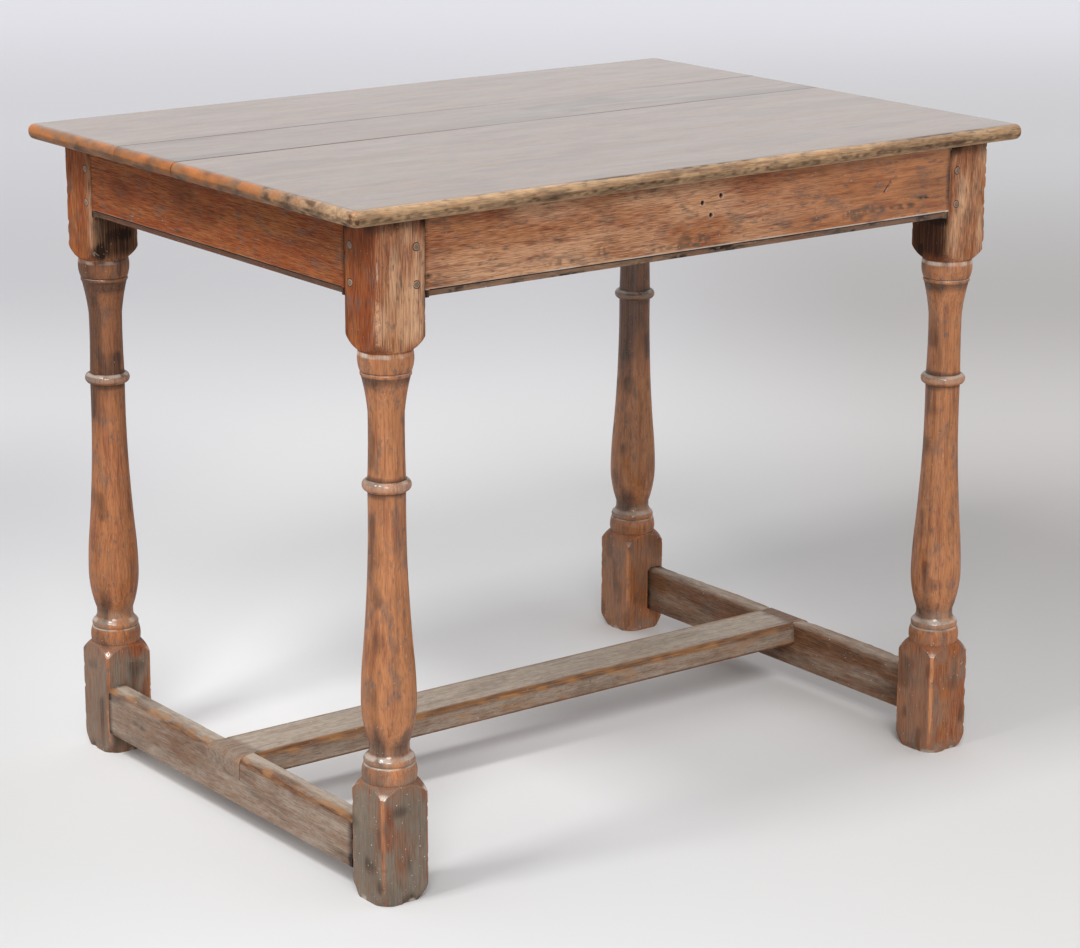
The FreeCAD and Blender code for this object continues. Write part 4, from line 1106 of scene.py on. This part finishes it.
# %% [markdown]
# ## Camera, floor and light
#
# The table was seen from its front left corner, a little above the top, with a long lens from about three
# and a half metres. The camera is placed by the directions of its own axes: right, up and back.

# %% Stand the camera
AZIMUTH, ELEVATION, ROLL = np.radians((-36.91, 15.387, 0.18))
CAMERA_PLACE = np.array((-2.0884, -2.8079, 1.2851))
LENS = 107.32


def stand(holder, place, *axes):
    """Puts an object into the scene at a place, with its own axes turned to those directions."""
    holder.matrix_world = Matrix.LocRotScale(place, Matrix(points_of(*axes).tolist()), None)
    bpy.context.scene.collection.objects.link(holder)


right = np.array((np.cos(AZIMUTH), np.sin(AZIMUTH), 0))
level_back = np.array((np.sin(AZIMUTH), -np.cos(AZIMUTH), 0))
back = level_back * np.cos(ELEVATION) + np.array((0, 0, np.sin(ELEVATION)))
up = np.cross(back, right)
camera = bpy.data.objects.new("camera", bpy.data.cameras.new("camera"))
camera.data.lens = LENS
rolled_right = np.cos(ROLL) * right + np.sin(ROLL) * up
rolled_up = np.cos(ROLL) * up - np.sin(ROLL) * right
stand(camera, CAMERA_PLACE, rolled_right, rolled_up, back)
bpy.context.scene.camera = camera
print("camera at", CAMERA_PLACE)

# %% [markdown]
# The floor is a wide sheet of pale matt paper that runs on as the background. Its greys are painted light and
# shade in soft bands by depth, in metres ahead of the table's middle: a lighter patch under the table,
# painted shadows of the top behind it that are darker to the sides and darkest on the right, and farther back
# a darker band and a paler distance, as a curved paper sweep would be lit.

# %% Lay the floor
FLOOR_RADIUS, FLOOR_SIDES = 14, 64
NEAR, FAR = -1.0, 8.0
PAPER_ROUGHNESS, PAPER_GLOSS = 0.9, 0.1
# Painted light and shade of the paper by depth, for the middle and for each side.
PAPER_PAINTED_SHADING = {
    "left": {
        -0.2: "d2d2d1", 0.3: "d9d9da", 1.0: "cbcbcd", 1.6: "dadadc",
        2.6: "cbcacd", 4.5: "dadade", 7: "ececf2",
    },
    "middle": {-0.4: "e3e3e3", 0.1: "f6f6f6", 0.9: "e9e9e9", 2.6: "cecdd0", 4.5: "dadade", 7: "ececf2"},
    "right": {-0.2: "dedddc", 0.9: "b8b5b4", 1.5: "cbc8c7", 2.4: "b8b5b4", 4.3: "d3d3d5", 7: "ececf2"},
}
# Where across the view the painted shadows at the left and right take over from the middle.
PAINTED_SHADE_SIDES = {"left": (-0.25, -0.8), "right": (0.0, 0.7)}
turns = np.linspace(0, 2 * np.pi, FLOOR_SIDES, endpoint=False)
rim = points_of(np.cos(turns), np.sin(turns), 0) * FLOOR_RADIUS
floor_mesh = bpy.data.meshes.new("studio_floor")
floor_mesh.from_pydata(rim.tolist(), [], [list(range(FLOOR_SIDES))])
floor = bpy.data.objects.new("studio_floor", floor_mesh)
bpy.context.scene.collection.objects.link(floor)
paper, paper_tree, paper_shader = new_material("matt_paper")
paper_place = add(paper_tree, "ShaderNodeTexCoord").node.outputs["Object"]
look = -back / np.hypot(*back[:2])
ahead = add(paper_tree, "ShaderNodeVectorMath", {0: paper_place, 1: look}, operation="DOT_PRODUCT")
aside = add(paper_tree, "ShaderNodeVectorMath", {0: paper_place, 1: right}, operation="DOT_PRODUCT")
depth = scaled(paper_tree, ahead.node.outputs["Value"], NEAR, FAR)
tones = {}
for part, stops in PAPER_PAINTED_SHADING.items():
    tones[part] = add(paper_tree, "ShaderNodeValToRGB", {"Fac": depth})
    shades = tones[part].node.color_ramp
    shades.interpolation = "EASE"
    while len(shades.elements) < len(stops):
        shades.elements.new(1)
    for element, (metres, code) in zip(shades.elements, stops.items()):
        element.position = (metres - NEAR) / (FAR - NEAR)
        element.color = colour(code)
tone = tones["middle"]
for part, (start, full) in PAINTED_SHADE_SIDES.items():
    share = scaled(paper_tree, aside.node.outputs["Value"], start, full)
    share.node.interpolation_type = "SMOOTHSTEP"
    tone = blend(paper_tree, share, tone, tones[part])
paper_looks = {"Base Color": tone, "Roughness": PAPER_ROUGHNESS, "Specular IOR Level": PAPER_GLOSS}
set_inputs(paper_shader, paper_looks)
floor_mesh.materials.append(paper)
print("floor of radius", FLOOR_RADIUS)

# %% [markdown]
# The room is a pale studio. A wide ceiling lights it from all over, a narrower light comes from above the
# camera, and a small lamp high on the left lays the faint shadows on the floor. The room is brighter to the
# wax than to bare wood, so that the top has its sheen and the shadows under it don't fill up.

# %% Light the room
ROOM_LEVEL, SHEEN_LEVEL = 0.4, 1.02
LIT_PLACE = (0, 0, 0.4)


def lamp(name, kind, place, spread, power):
    """A soft lamp that looks at the table. Its spread is a side in metres, or an angle for a sun."""
    light = bpy.data.lights.new(name, kind)
    setattr(light, "angle" if kind == "SUN" else "size", spread)
    light.energy = power
    holder = bpy.data.objects.new(name, light)
    away = np.array(place, float) - LIT_PLACE
    side = np.cross((0, 0, 1), away)
    upright = np.cross(away, side)
    holder.visible_camera = False
    stand(holder, place, *(axis / np.linalg.norm(axis) for axis in (side, upright, away)))
    return holder


lamps = [
    lamp("soft_ceiling", "SUN", (-0.2, -0.5, 3.4), np.radians(110), 0.85),
    lamp("soft_front", "SUN", (-1.9, -2.55, 2.9), np.radians(22), 1.35),
    lamp("soft_left", "AREA", (-2.1, -0.2, 3.1), 0.6, 42),
]
world = bpy.data.worlds.new("pale_room")
world.use_nodes = True
glossy = add(world.node_tree, "ShaderNodeLightPath").node.outputs["Is Glossy Ray"]
level = scaled(world.node_tree, glossy, 0.0, 1.0, ROOM_LEVEL, SHEEN_LEVEL)
set_inputs(world.node_tree.nodes["Background"], {"Color": colour("f4f4f6"), "Strength": level})
bpy.context.scene.world = world
bpy.context.scene.view_settings.view_transform = "Standard"
print("lamps", [light.name for light in lamps])
